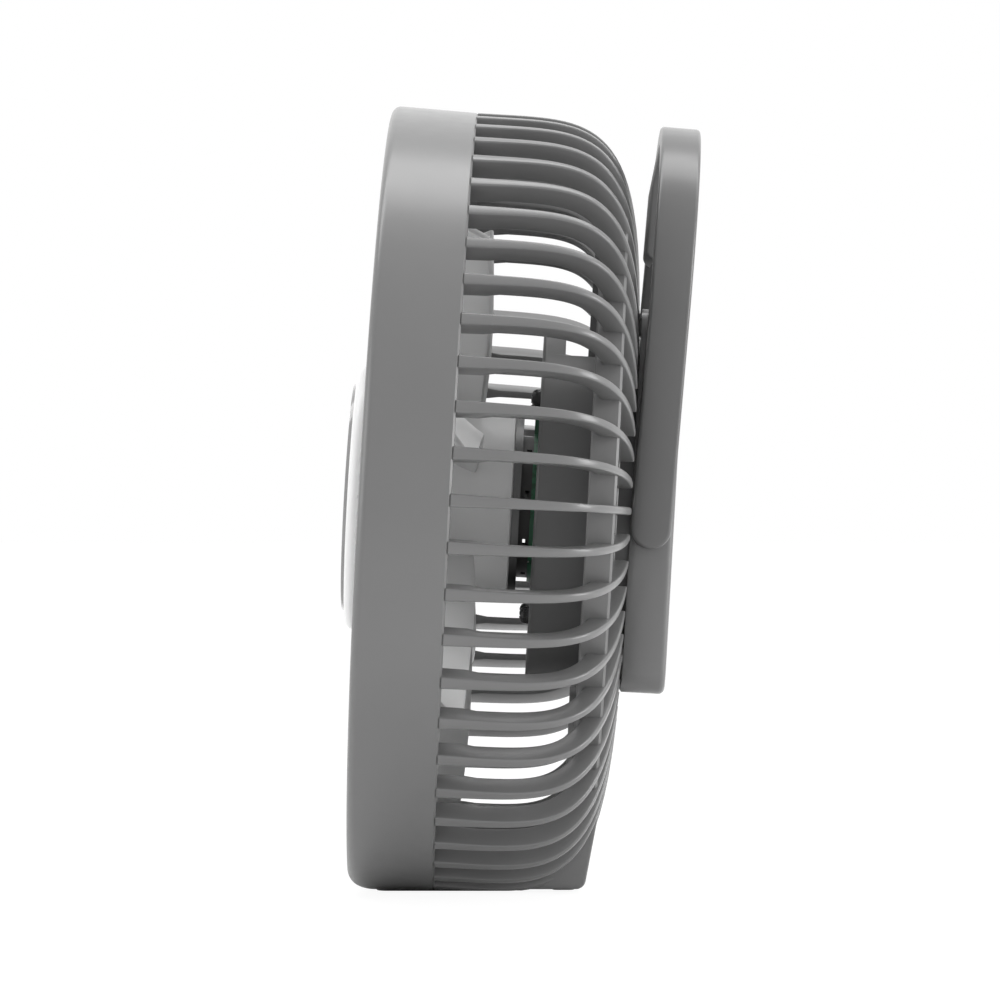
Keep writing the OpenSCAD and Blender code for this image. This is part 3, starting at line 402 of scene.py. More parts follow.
# ---- Front grille
# A moulding in the arm's darker grey, let into the ring's ledge: a rim, 56 thin bars that
# dome forward to a flat middle, and two hoops that tie them. Its front edges are rounded.
BAR_COUNT, BAR_W, BAR_DEEP = 56, 0.0015, 0.003
GRILLE_MID_Y, GRILLE_MID_R, GRILLE_DOME, DOME_POWER = -0.0024, 0.0328, 0.0048, 1.8
GRILLE_RIM_W, GRILLE_RIM_EDGE, GRILLE_BORE, SEAT = 0.003, 0.0006, 0.0216, 0.0002
BAR_START, BAR_END, BAR_STEPS, BAR_EDGE, HOOP_EDGE = 0.0308, 0.0859, 14, 0.0005, 0.0004
HOOP_SHARES, RIM_STEPS, HOOP_STEPS, MIDDLE_STEPS = (0.36, 0.7), 192, 144, 128


def grille_front(r):
    share = max(0, (r - GRILLE_MID_R) / (GRILLE_R - GRILLE_MID_R))
    return GRILLE_MID_Y + GRILLE_DOME * share ** DOME_POWER


def rounded_tube(r_out, r_in, front, back, edge=HOOP_EDGE):
    """A ring of square section whose two front edges are rounded."""
    return ([(r_in, back), (r_in, front + edge)]
            + arc((r_in + edge, front + edge), edge, 180, 270, 3)
            + arc((r_out - edge, front + edge), edge, 270, 360, 3) + [(r_out, back), (r_in, back)])


def copy_round(count):
    """Copies the whole mesh in edit mode round the head's axis, for count in all."""
    bpy.ops.mesh.select_all(action="SELECT")
    bpy.ops.mesh.spin(steps=count - 1, angle=2 * math.pi * (count - 1) / count, dupli=True,
                      use_auto_merge=False, center=(0, 0, 0), axis=(0, 1, 0))


grille = start_piece("front_grille")
bar_radii = [BAR_START + (BAR_END - BAR_START) * i / BAR_STEPS for i in range(BAR_STEPS + 1)]
for shift in (0, BAR_DEEP):
    draw_line([(-BAR_W / 2, grille_front(r) + shift, r) for r in bar_radii])
bpy.ops.mesh.select_all(action="SELECT")
bpy.ops.mesh.bridge_edge_loops()
bpy.ops.mesh.select_all(action="SELECT")
bpy.ops.mesh.extrude_region_move(TRANSFORM_OT_translate={"value": (BAR_W, 0, 0)})
close_mesh(FINE_WELD)
pick(grille, edges=lambda e: same_side(e) and runs(e, "z"))
bpy.ops.mesh.bevel(offset=BAR_EDGE, segments=3, affect="EDGES")
copy_round(BAR_COUNT)
turn_profile(rounded_tube(GRILLE_R - SEAT, GRILLE_R - GRILLE_RIM_W, LEDGE_Y - BAR_DEEP, LEDGE_Y,
                          GRILLE_RIM_EDGE), RIM_STEPS)
for share in HOOP_SHARES:
    hoop_mid = GRILLE_MID_R + share * (GRILLE_R - GRILLE_MID_R)
    turn_profile(rounded_tube(hoop_mid + BAR_W / 2, hoop_mid - BAR_W / 2,
                              grille_front(hoop_mid) + BAR_DEEP / 4,
                              grille_front(hoop_mid) + BAR_DEEP), HOOP_STEPS)
turn_profile(rounded_tube(GRILLE_MID_R, GRILLE_BORE, GRILLE_MID_Y, GRILLE_MID_Y + BAR_DEEP),
             MIDDLE_STEPS)
close_mesh(FINE_WELD)
arm_plastic = moulded("arm_plastic", 0.105, 0.33, Coat_Weight=0.3, Coat_Roughness=0.2)
set_piece(grille, arm_plastic, replaces=["front_guard"])


# ---- White cap
# A white satin moulding with a rounded edge. It has a shallow seat for the disc, and its
# short spigot plugs into the grille's middle.
CAP_R, CAP_EDGE, CAP_FRONT, SEAT_BEVEL = 0.0334, 0.0022, -0.0052, 0.0002
SPIGOT_R, SPIGOT_BORE, SPIGOT_END = 0.0214, 0.0194, 0.0006
DISC_R, DISC_SEAT = 0.0288, 0.0006

cap = turned_piece(
    "white_cap",
    [(0, CAP_FRONT + DISC_SEAT), (DISC_R + SEAT, CAP_FRONT + DISC_SEAT),
     (DISC_R + SEAT, CAP_FRONT + SEAT_BEVEL), (DISC_R + SEAT + SEAT_BEVEL, CAP_FRONT)]
    + arc((CAP_R - CAP_EDGE, CAP_FRONT + CAP_EDGE), CAP_EDGE, -90, 0, 12)
    + [(CAP_R, GRILLE_MID_Y), (SPIGOT_R, GRILLE_MID_Y), (SPIGOT_R, SPIGOT_END),
       (SPIGOT_BORE, SPIGOT_END), (SPIGOT_BORE, GRILLE_MID_Y), (0, GRILLE_MID_Y)])
white_plastic = moulded("white_plastic", 0.88, 0.34, shift=0.015)
set_piece(cap, white_plastic, replaces=["front_cap"])


# ---- Glossy disc
# A thin disc of grey gloss acrylic with a slightly domed face and a crisp rim, glued into
# the cap's seat.
DISC_RIM, DISC_T, DISC_STEPS, RIM_BEVEL = 0.0009, 0.0015, 12, 0.0002
GLOSS_SMEAR, GLOSS_CLOUD, GLOSS_WAVE, GLOSS_GREYS = 0.012, 0.05, 0.02, ([0.26] * 3, [0.29] * 3)
GLOSS_ROUGH, SMEAR_ROUGH, WAVE_BUMP, WAVE_DEEP = 0.09, 0.08, 0.04, 0.0002

dome = [1 - i / DISC_STEPS for i in range(1, DISC_STEPS + 1)]
disc = turned_piece(
    "gloss_disc",
    [(0, CAP_FRONT + DISC_SEAT), (DISC_R, CAP_FRONT + DISC_SEAT),
     (DISC_R, CAP_FRONT - DISC_RIM / 2), (DISC_R - RIM_BEVEL, CAP_FRONT - DISC_RIM)]
    + [(DISC_R * out, CAP_FRONT - DISC_RIM - (DISC_T - DISC_RIM) * (1 - out ** 2))
       for out in dome])
gloss = Finish("gloss_acrylic", Coat_Weight=0.6, Coat_Roughness=0.03)
smears = gloss.cloud(GLOSS_SMEAR, 4)
gloss.shade(Base_Color=gloss.tint(gloss.cloud(GLOSS_CLOUD, 2), *GLOSS_GREYS),
            Roughness=GLOSS_ROUGH + smears * SMEAR_ROUGH,
            Normal=gloss.bump(gloss.cloud(GLOSS_WAVE, 1), WAVE_BUMP, WAVE_DEEP))
set_piece(disc, gloss.material, replaces=["cap_disc"])


# ---- Rear guard with the back half of the foot
# One grey moulding: 56 flat ribs run back from a rim inside the ring, round the shoulder
# and in to a hoop and plate. A band ties them, and a hollow wedge under them ends the foot.
RIB_COUNT, RIB_STEPS, RIB_SPREAD, RIB_TIP_R = 56, 26, 1.6, 0.057
RIB_ROOT_T, RIB_T, RIB_DEPTH, RIB_EDGE = 0.0032, 0.0019, 0.0052, 0.0005
ROOT_Y, ROOT_DROP = RING_LEN - 0.0012, 0.0028
CAGE_LEN, CAGE_POWER, SHOULDER_SHARE = 0.0436, 4.7, 0.75
SHOULDER_Y, THICK_R, STATION_NEAR = RING_LEN + SHOULDER_SHARE * CAGE_LEN, 0.07, 2e-5
RIM_R, RIM_T, RIM_FRONT = 0.0955, 0.003, 0.0125
BAND_R, BAND_Y, BAND_LEN, BAND_BEVEL, FINE_BEVEL = 0.081, 0.0534, 0.0067, 0.0006, 0.0003
HOOP_R, HOOP_FRONT, HOOP_BACK, PLATE_T, PLATE_Y = 0.0582, 0.0553, 0.061, 0.0022, 0.0564
HOOP_LAP_Y, HOOP_LAP_R = 0.0008, 0.0012
CUT_FRONT, CUT_BACK = PLATE_Y - 0.001, PLATE_Y + 0.004
WINDOW_W, WINDOW_H = 0.0698, 0.0408
VENT_R, VENT_W, VENT_LEN = 0.0475, 0.0024, 0.007
HEEL_LIFT, WEDGE_WALL, WEDGE_CORNER, WEDGE_FOOT_Y = 0.0008, 0.0022, 0.0025, 0.059
WEDGE_TOP, WEDGE_FRONT_TOP, WEDGE_RISE, WEDGE_IN = (0.0616, -0.0728), -0.083, 0.0104, 0.0016
WEDGE_EDGE, WEDGE_START, WEDGE_LAP, CAVITY_LAP = 0.0006, RING_LEN + 0.00002, 0.0005, 0.0007
WEDGE_LOW, WEDGE_CLEAR, HULL_BACK = 0.002, 0.001, 0.08
SOLE_END_Y, SOLE_T, SOLE_MARGIN = 0.043, 0.0015, 0.0004


def cage_point(turn):
    """Place and outward normal [y, radius] on the guard's outer curve."""
    place = Vector((RING_LEN + CAGE_LEN * math.sin(turn) ** (2 / CAGE_POWER),
                    RING_BACK_R * math.cos(turn) ** (2 / CAGE_POWER)))
    normal = Vector((((place.x - RING_LEN) / CAGE_LEN) ** (CAGE_POWER - 1) / CAGE_LEN,
                     (place.y / RING_BACK_R) ** (CAGE_POWER - 1) / RING_BACK_R)).normalized()
    return place, normal


last_turn = math.acos((RIB_TIP_R / RING_BACK_R) ** (CAGE_POWER / 2))
rib_places = [cage_point(last_turn * (i / RIB_STEPS) ** RIB_SPREAD)
              for i in range(RIB_STEPS + 1)]
outer_line = [(ROOT_Y, RING_BACK_R - ROOT_DROP)] + [tuple(place) for place, _ in rib_places]
inner_line = [(ROOT_Y, RING_BACK_R - RIB_DEPTH)]
for place, normal in rib_places:
    inner = place - RIB_DEPTH * normal
    inner_line.append((min(inner.x, HOOP_FRONT + HOOP_LAP_Y), max(inner.y, HOOP_R - HOOP_LAP_R)))

guard = start_piece("rib_cage")
draw_line([(0, y, r) for y, r in outer_line])
draw_line([(0, y, r) for y, r in inner_line])
bpy.ops.mesh.select_all(action="SELECT")
bpy.ops.mesh.bridge_edge_loops()
bpy.ops.mesh.select_all(action="SELECT")
bpy.ops.transform.translate(value=(-RIB_T / 2, 0, 0))
bpy.ops.mesh.extrude_region_move(TRANSFORM_OT_translate={"value": (RIB_T, 0, 0)})
close_mesh(FINE_WELD)
for station in [ROOT_Y] + [place.x for place, _ in rib_places if place.x <= SHOULDER_Y]:
    way = max(0, (station - RING_LEN) / (SHOULDER_Y - RING_LEN))
    thick = RIB_ROOT_T + way * (RIB_T - RIB_ROOT_T)
    pick(guard, verts=lambda v: abs(v.co.y - station) < STATION_NEAR and v.co.z > THICK_R)
    bpy.ops.transform.resize(value=(thick / RIB_T, 1, 1), center_override=(0, 0, 0))
pick(guard, edges=lambda e: same_side(e) and len(e.link_faces) == 2
     and e.calc_face_angle(0) > SHARP and middle(e).y > RING_LEN)
bpy.ops.mesh.bevel(offset=RIB_EDGE, segments=3, affect="EDGES")
copy_round(RIB_COUNT)
bpy.ops.mesh.select_all(action="SELECT")
bpy.ops.mesh.bisect(plane_co=(0, 0, sole_at(0)), use_fill=True, clear_outer=True,
                    plane_no=(0, math.sin(HEAD_LEAN), -math.cos(HEAD_LEAN)))
turn_profile([(RIM_R, RIM_FRONT), (RIM_R, RING_LEN), (RIM_R - RIM_T, RING_LEN),
              (RIM_R - RIM_T, RIM_FRONT), (RIM_R, RIM_FRONT)])
turn_profile([(BAND_R, BAND_Y + FINE_BEVEL), (BAND_R, BAND_Y + BAND_LEN - BAND_BEVEL),
              (BAND_R - BAND_BEVEL, BAND_Y + BAND_LEN), (BAND_R - PLATE_T, BAND_Y + BAND_LEN),
              (BAND_R - PLATE_T, BAND_Y), (BAND_R - FINE_BEVEL, BAND_Y),
              (BAND_R, BAND_Y + FINE_BEVEL)])
close_mesh(FINE_WELD)
leave_edit()

plate = turned_piece(
    "guard_plate",
    [(HOOP_R, HOOP_FRONT), (HOOP_R, HOOP_BACK - FINE_BEVEL), (HOOP_R - FINE_BEVEL, HOOP_BACK),
     (HOOP_R - PLATE_T, HOOP_BACK), (HOOP_R - PLATE_T, PLATE_Y + PLATE_T), (0, PLATE_Y + PLATE_T),
     (0, PLATE_Y), (HOOP_R - PLATE_T, PLATE_Y), (HOOP_R - PLATE_T, HOOP_FRONT),
     (HOOP_R, HOOP_FRONT)])


def block(name, low, high):
    """A box between two corners, to be shaped or cut away."""
    leave_edit()
    bpy.ops.mesh.primitive_cube_add(size=1, location=(Vector(high) + Vector(low)) / 2)
    piece = bpy.context.object
    piece.name = name
    piece.scale = Vector(high) - Vector(low)
    bpy.ops.object.transform_apply(location=True, rotation=True, scale=True)
    return piece


vents = block("vents", (-VENT_W / 2, CUT_FRONT, VENT_R), (VENT_W / 2, CUT_BACK, VENT_R + VENT_LEN))
bpy.ops.object.mode_set(mode="EDIT")
bpy.ops.mesh.select_all(action="SELECT")
bpy.ops.transform.rotate(value=math.pi / RIB_COUNT, orient_axis="Y", center_override=(0, 0, 0))
copy_round(RIB_COUNT // 2)
combine(plate, vents)
combine(plate, block("window", (-WINDOW_W / 2, CUT_FRONT, -WINDOW_H / 2),
                     (WINDOW_W / 2, CUT_BACK, WINDOW_H / 2)))


def wedge_outline(wall, start):
    """The wedge's side outline, or its inside at a wall's thickness."""
    corner = (WEDGE_FOOT_Y - WEDGE_CORNER,
              sole_at(WEDGE_FOOT_Y - WEDGE_CORNER, HEEL_LIFT) + WEDGE_CORNER)
    return ([(start, WEDGE_FRONT_TOP), (start, sole_at(start, HEEL_LIFT + wall))]
            + arc(corner, WEDGE_CORNER - wall, 270, 352, 8)
            + [(WEDGE_TOP[0] - wall, WEDGE_TOP[1]),
               (WEDGE_TOP[0] - wall, WEDGE_TOP[1] + WEDGE_RISE)])


wedge = prism("foot_wedge", wedge_outline(0, WEDGE_START), -FOOT_HALF, FOOT_HALF)
pick(wedge, edges=lambda e: not runs(e, "x") and middle(e).z < WEDGE_TOP[1] - WEDGE_LOW
     and middle(e).y > RING_LEN + WEDGE_CLEAR)
bpy.ops.mesh.bevel(offset=WEDGE_EDGE, segments=3, affect="EDGES")
combine(wedge, prism("wedge_inside", wedge_outline(WEDGE_WALL, RING_LEN - WEDGE_LAP),
                     WEDGE_WALL - FOOT_HALF, FOOT_HALF - WEDGE_WALL))
cavity = [place - WEDGE_IN * normal for place, normal in rib_places]
cavity_front = RING_LEN - CAVITY_LAP
combine(wedge, turned_piece("cage_space", [(0, cavity_front), (cavity[0].y, cavity_front)]
                            + [(p.y, p.x) for p in cavity] + [(0, cavity[-1].x)], RING_STEPS))
combine(wedge, prism("sole_plate", [
    (WEDGE_START, sole_at(RING_LEN, SOLE_T)), (WEDGE_START, sole_at(RING_LEN)),
    (SOLE_END_Y, sole_at(SOLE_END_Y)), (SOLE_END_Y, sole_at(SOLE_END_Y, SOLE_T))],
    SOLE_MARGIN - FOOT_HALF, FOOT_HALF - SOLE_MARGIN), "UNION")
combine(wedge, turned_piece("cage_hull", [
    (0, 0), (RING_BACK_R, 0), (RING_BACK_R, HULL_BACK), (0, HULL_BACK)], RING_STEPS), "INTERSECT")
leave_edit()
for extra in (plate, wedge, guard):
    extra.select_set(True)
bpy.context.view_layer.objects.active = guard
bpy.ops.object.join()
set_piece(guard, body_plastic, replaces=["rear_guard"])


# ---- Foot pads
# Two soft rubber pads are glued into shallow recesses under the foot: a large one under
# the ring and a narrow one under the wedge's heel. Their lower edges are rounded.
PAD_EDGE = 0.00025

soft_rubber = moulded("soft_rubber", 0.1, 0.78, grain=0.4)
for pad_name, node_name, low, high, corner in (
        ("sole_pad", "foot_pad", (-0.017, -0.0177, 0), (0.017, 0.0177, 0.0008), 0.003),
        ("heel_strip", "heel_pad", (-0.014, 0.0262, 0), (0.014, 0.0318, 0.0011), 0.0015)):
    pad = block(pad_name, low, high)
    bpy.ops.object.mode_set(mode="EDIT")
    pick(pad, edges=lambda e: runs(e, "z"))
    bpy.ops.mesh.bevel(offset=corner, segments=8, affect="EDGES")
    pick(pad, edges=lambda e: max(v.co.z for v in e.verts) < NEAR)
    bpy.ops.mesh.bevel(offset=PAD_EDGE, segments=3, affect="EDGES")
    close_mesh(FINE_WELD)
    set_piece(pad, soft_rubber, replaces=[node_name], in_head=False)


# ---- Fan wheel
# One white moulding: a hub with a rounded front and seven pitched, swept blades whose
# roots run into it. Its white is coloured a light grey, as painted shade for the shadow
# inside the cage. It is pressed over the motor's steel bell.
HUB_R, HUB_FRONT, HUB_BACK, HUB_WALL = 0.024, 0.0036, 0.03545, 0.0021
HUB_EDGE, BELL_FRONT = 0.003, 0.0206
BLADE_COUNT, BLADE_R, BLADE_T = 7, 0.076, 0.0018
BLADE_ROOT_R, BLADE_MID_Y, BLADE_DEEP = 0.02295, 0.01645, 0.0195
ROOT_HALF, TIP_HALF = 0.007344, 0.02052
BLADE_SWEEP, BLADE_CAMBER, BLADE_BELLY, BLADE_EDGE = 16, 0.09, 0.14, 0.0005
BLADE_OUT, BLADE_ACROSS, BLADE_SHARP, HUB_STEPS = 9, 12, math.radians(50), 96


def blade_place(out, across):
    """A point on the blade's middle surface: out from hub to tip, across from front to back."""
    radius = BLADE_ROOT_R + out * (BLADE_R - BLADE_ROOT_R)
    half = ROOT_HALF + out * (TIP_HALF - ROOT_HALF)
    deep = BLADE_DEEP / 2 * (1 + BLADE_BELLY * math.sin(math.pi * out))
    long = math.hypot(half, deep)
    push = BLADE_CAMBER * 2 * long * (1 - across * across)
    round_way = across * half + push * deep / long
    turn = math.radians(BLADE_SWEEP * out * out) + round_way / radius
    return (radius * math.sin(turn), BLADE_MID_Y + across * deep - push * half / long,
            radius * math.cos(turn))


wheel = start_piece("bladed_wheel")
row_size = BLADE_ACROSS + 1
for row in range(BLADE_OUT + 1):
    draw_line([blade_place(row / BLADE_OUT, 2 * j / BLADE_ACROSS - 1) for j in range(row_size)])
    if row:
        first = (row - 1) * row_size
        pick(wheel, edges=lambda e: min(v.index for v in e.verts) >= first
             and e.verts[0].index // row_size == e.verts[1].index // row_size)
        bpy.ops.mesh.bridge_edge_loops()
bpy.ops.object.mode_set(mode="OBJECT")
use_modifier(wheel, "SOLIDIFY", thickness=BLADE_T, offset=0)
use_modifier(wheel, "BEVEL", width=BLADE_EDGE, segments=2, limit_method="ANGLE",
             angle_limit=BLADE_SHARP)
bpy.ops.object.mode_set(mode="EDIT")
close_mesh()
copy_round(BLADE_COUNT)
turn_profile([(0, HUB_FRONT)]
             + arc((HUB_R - HUB_EDGE, HUB_FRONT + HUB_EDGE), HUB_EDGE, -90, 0, 8)
             + [(HUB_R, HUB_BACK - FINE_BEVEL), (HUB_R - FINE_BEVEL, HUB_BACK),
                (HUB_R - HUB_WALL, HUB_BACK), (HUB_R - HUB_WALL, BELL_FRONT), (0, BELL_FRONT)],
             HUB_STEPS)
close_mesh(FINE_WELD)
# Painted shade: the wheel's white plastic is darkened to a light grey for the shade inside the
# cage.
wheel_plastic = moulded("wheel_plastic", 0.66, 0.36, shift=0.02)
set_piece(wheel, wheel_plastic, body="rotor", replaces=["fan_wheel"])


# ---- Motor pod
# A dark moulded cup: full round at its front rim, flat on top behind it, with a thin
# flange against the guard's plate. Its face has a hole for the shaft and one for the leads.
POD_R, POD_FACE, POD_BACK, POD_WALL = 0.0448, 0.0411, 0.0564, 0.0022
POD_RIM, POD_FLAT, POD_FLANGE, POD_EDGE = 0.0056, 0.038, 0.0012, 0.0009
SHAFT_HOLE_R, LEAD_HOLE_R, LEAD_Z, HOLE_LONG = 0.0045, 0.0026, 0.024, 0.01
CUT_REACH, POD_CUT_BACK, HOLLOW_CUT_FRONT, HOLLOW_CUT_BACK = 0.05, 0.06, 0.04, 0.07


def rod(radius, length, place, along="Y", vertices=48):
    """A round bar at a place, along the head's axis Y or across it along X."""
    turn = (math.pi / 2, 0, 0) if along == "Y" else (0, math.pi / 2, 0)
    bpy.ops.mesh.primitive_cylinder_add(vertices=vertices, radius=radius, depth=length,
                                        location=place, rotation=turn)


pod = turned_piece("motor_pod", [(0, POD_FACE)]
                   + arc((POD_R - POD_EDGE, POD_FACE + POD_EDGE), POD_EDGE, -90, 0, 4)
                   + [(POD_R, POD_BACK - POD_FLANGE), (POD_R + POD_FLANGE, POD_BACK - POD_FLANGE),
                      (POD_R + POD_FLANGE, POD_BACK), (0, POD_BACK)])
combine(pod, block("pod_top_cut", (-CUT_REACH, POD_FACE + POD_RIM, POD_FLAT),
                   (CUT_REACH, POD_CUT_BACK, CUT_REACH)))
hollow = turned_piece("pod_hollow", [
    (0, POD_FACE + POD_WALL), (POD_R - POD_WALL, POD_FACE + POD_WALL),
    (POD_R - POD_WALL, POD_CUT_BACK), (0, POD_CUT_BACK)])
combine(hollow, block("hollow_top_cut", (-CUT_REACH, HOLLOW_CUT_FRONT, POD_FLAT - POD_WALL),
                      (CUT_REACH, HOLLOW_CUT_BACK, CUT_REACH)))
combine(pod, hollow)
holes = start_piece("pod_holes")
for radius, z in ((SHAFT_HOLE_R, 0), (LEAD_HOLE_R, LEAD_Z)):
    rod(radius, HOLE_LONG, (0, POD_FACE, z), vertices=32)
combine(pod, holes)
dark_plastic = moulded("dark_plastic", 0.11, 0.4)
set_piece(pod, dark_plastic, replaces=["pod_cover"])


# ---- Pod screws
# Four black pan-head screws with a cross recess. They go in from the pod's face, down its
# screw tubes and through the guard's plate, and hold the pod on the guard.
POD_SCREW, POD_SCREW_R, POD_SCREW_END = 0.0269, 0.00145, 0.066
PAN_HEAD = ((0, 0.0387), (0.0011, 0.03885), (0.0018, 0.0393), (0.0022, 0.04), (0.00225, POD_FACE))
RECESS_FRONT, RECESS_END, RECESS_LONG, RECESS_WIDE = 0.036, 0.0398, 0.00145, 0.0003

pod_screws = turned_piece("pod_pan_screws", [
    *PAN_HEAD, (POD_SCREW_R, POD_FACE), (POD_SCREW_R, POD_SCREW_END), (0, POD_SCREW_END)], 32)
recess, recess_across = [
    block("recess", (-w, RECESS_FRONT, -h), (w, RECESS_END, h))
    for w, h in ((RECESS_LONG, RECESS_WIDE), (RECESS_WIDE, RECESS_LONG))]
combine(recess, recess_across, "UNION")
combine(pod_screws, recess)
bpy.ops.object.mode_set(mode="EDIT")
bpy.ops.mesh.select_all(action="SELECT")
bpy.ops.transform.translate(value=(POD_SCREW, 0, POD_SCREW))
copy_round(4)
black_steel = moulded("black_steel", 0.03, 0.28, grain=0.05, Metallic=0.4)
set_piece(pod_screws, black_steel, replaces=["pod_screws"])


# ---- Rear block's shell
# A flat grey box moulding with rounded corners and a softened back edge. Four screws from
# the chassis hold it; its back has the button, four lights and the charging socket.
BLOCK_W, BLOCK_H, BLOCK_MID, BLOCK_WALL = 0.086, 0.094, 0.0028, 0.0018
BLOCK_Y, BLOCK_BACK = 0.0646, 0.0753
BLOCK_CORNER, BLOCK_EDGE = 0.006, 0.0015
BUTTON_Z, BUTTON_R = 0.024, 0.006
LIGHT_COUNT, LIGHT_Z, LIGHT_R, LIGHT_PITCH = 4, 0.009, 0.00095, 0.004
SOCKET_Z, SOCKET_W, SOCKET_H, SOCKET_CORNER = -0.024, 0.00894, 0.00326, 0.0019
SOCKET_CUT_FRONT, SOCKET_CUT_BACK = 0.07, 0.08
PIVOT, STUB_R, STUB_HOLE_LONG = (0, 0.0695, -0.0039), 0.0025, 0.1
HOLE_PLAY, TIGHT_PLAY, FACING, OUTER_NEAR = 0.0003, 0.00005, 0.9, 0.001

shell = block("rear_shell", (-BLOCK_W / 2, BLOCK_Y, BLOCK_MID - BLOCK_H / 2),
              (BLOCK_W / 2, BLOCK_BACK, BLOCK_MID + BLOCK_H / 2))
bpy.ops.object.mode_set(mode="EDIT")
pick(shell, edges=lambda e: runs(e, "y"))
bpy.ops.mesh.bevel(offset=BLOCK_CORNER, segments=8, affect="EDGES")
pick(shell, edges=lambda e: min(v.co.y for v in e.verts) > BLOCK_BACK - NEAR)
bpy.ops.mesh.bevel(offset=BLOCK_EDGE, segments=5, affect="EDGES")
pick(shell, faces=lambda f: f.normal.y < -FACING)
bpy.ops.mesh.inset(thickness=BLOCK_WALL)
bpy.ops.mesh.extrude_region_move(
    TRANSFORM_OT_translate={"value": (0, BLOCK_BACK - BLOCK_WALL - BLOCK_Y, 0)})
pick(shell, edges=lambda e: max(v.co.y for v in e.verts) < BLOCK_Y + NEAR
     and e.calc_face_angle(0) > SHARP
     and (abs(middle(e).x) > BLOCK_W / 2 - OUTER_NEAR
          or abs(middle(e).z - BLOCK_MID) > BLOCK_H / 2 - OUTER_NEAR))
bpy.ops.mesh.bevel(offset=FINE_BEVEL, segments=2, affect="EDGES")
close_mesh(FINE_WELD)
openings = start_piece("shell_openings")
rod(BUTTON_R + HOLE_PLAY, HOLE_LONG, (0, BLOCK_BACK, BUTTON_Z), vertices=64)
for i in range(LIGHT_COUNT):
    light_x = (i - (LIGHT_COUNT - 1) / 2) * LIGHT_PITCH
    rod(LIGHT_R + TIGHT_PLAY, HOLE_LONG, (light_x, BLOCK_BACK, LIGHT_Z), vertices=24)
rod(STUB_R + TIGHT_PLAY, STUB_HOLE_LONG, PIVOT, along="X")
combine(shell, openings)
half_w, half_h = SOCKET_W / 2 + HOLE_PLAY, SOCKET_H / 2 + HOLE_PLAY
socket_cut = block("socket_cut", (-half_w, SOCKET_CUT_FRONT, SOCKET_Z - half_h),
                   (half_w, SOCKET_CUT_BACK, SOCKET_Z + half_h))
bpy.ops.object.mode_set(mode="EDIT")
pick(socket_cut, edges=lambda e: runs(e, "y"))
bpy.ops.mesh.bevel(offset=SOCKET_CORNER, segments=8, affect="EDGES")
combine(shell, socket_cut)
set_piece(shell, body_plastic, replaces=["back_shell"])


# ---- Clip arm
# A grey arch, 5 mm thick, whose two legs end round and turn on stubs in the block's
# sides. A flat tongue hangs from its middle, and a spring at each stub pulls it forwards.
ARM_OUT, ARM_IN, ARCH_Z, ARM_HALF = 0.049, 0.044, 0.0528, 0.005
ARM_LEAN = math.radians(1.75)
TONGUE_HALF, TONGUE_END, TONGUE_TOP, TONGUE_T = 0.016, 0.0678, 0.0978, 0.0024
TONGUE_Y, TONGUE_CORNER, TONGUE_EDGE = -0.0042, 0.004, 0.0004
ARM_EDGE, END_GAP, ARCH_STEPS = 0.0009, 0.00006, 64
BOSS_R, BOSS_T, BOSS_X, STUB_LEN, STUB_X = 0.0035, 0.0017, 0.04415, 0.0081, 0.04045

arm = start_piece("arch_arm")
for radius in (ARM_OUT, ARM_IN):
    draw_line([(x, -ARM_HALF, z) for x, z in
               [(radius, -ARM_HALF)] + arc((0, ARCH_Z), radius, 0, 180, ARCH_STEPS)
               + [(-radius, -ARM_HALF)]])
bpy.ops.mesh.select_all(action="SELECT")
bpy.ops.mesh.bridge_edge_loops()
bpy.ops.mesh.select_all(action="SELECT")
bpy.ops.mesh.extrude_region_move(TRANSFORM_OT_translate={"value": (0, 2 * ARM_HALF, 0)})
close_mesh()
pick(arm, edges=lambda e: runs(e, "x") and max(v.co.z for v in e.verts) < -ARM_HALF + NEAR)
bpy.ops.mesh.bevel(offset=ARM_HALF - END_GAP, segments=12, affect="EDGES")
pick(arm, edges=lambda e: e.calc_face_angle(0) > SHARP)
bpy.ops.mesh.bevel(offset=ARM_EDGE, segments=3, affect="EDGES")
for side in (-1, 1):
    rod(BOSS_R, BOSS_T, (side * BOSS_X, 0, 0), along="X")
    rod(STUB_R, STUB_LEN, (side * STUB_X, 0, 0), along="X")
close_mesh(FINE_WELD)
tongue = block("arm_tongue", (-TONGUE_HALF, TONGUE_Y, TONGUE_END),
               (TONGUE_HALF, TONGUE_Y + TONGUE_T, TONGUE_TOP))
bpy.ops.object.mode_set(mode="EDIT")
pick(tongue, edges=lambda e: runs(e, "y"))
bpy.ops.mesh.bevel(offset=TONGUE_CORNER, segments=8, affect="EDGES")
pick(tongue, edges=lambda e: not runs(e, "y"))
bpy.ops.mesh.bevel(offset=TONGUE_EDGE, segments=3, affect="EDGES")
leave_edit()
tongue.select_set(True)
arm.select_set(True)
bpy.context.view_layer.objects.active = arm
bpy.ops.object.join()
set_piece(arm, arm_plastic, body="arm", replaces=["clip_arm"],
          lean=ARM_LEAN, pivot=PIVOT)


# ---- Grip pad
# A block of soft grey rubber on the tongue's front: thin at the top, full lower down and
# round at its end, where it presses on the guard's ribs.
GRIP_HALF, GRIP_LOW, GRIP_TOP, GRIP_FULL_Z = 0.0158, 0.067, 0.096, 0.0852
GRIP_FRONT, GRIP_END_R, GRIP_THIN, GRIP_EDGE = -0.0062, 0.0026, 0.0008, 0.0007
GRIP_PROUD, SPACE_LONG, SPACE_STEPS = 0.0003, 0.03, 160

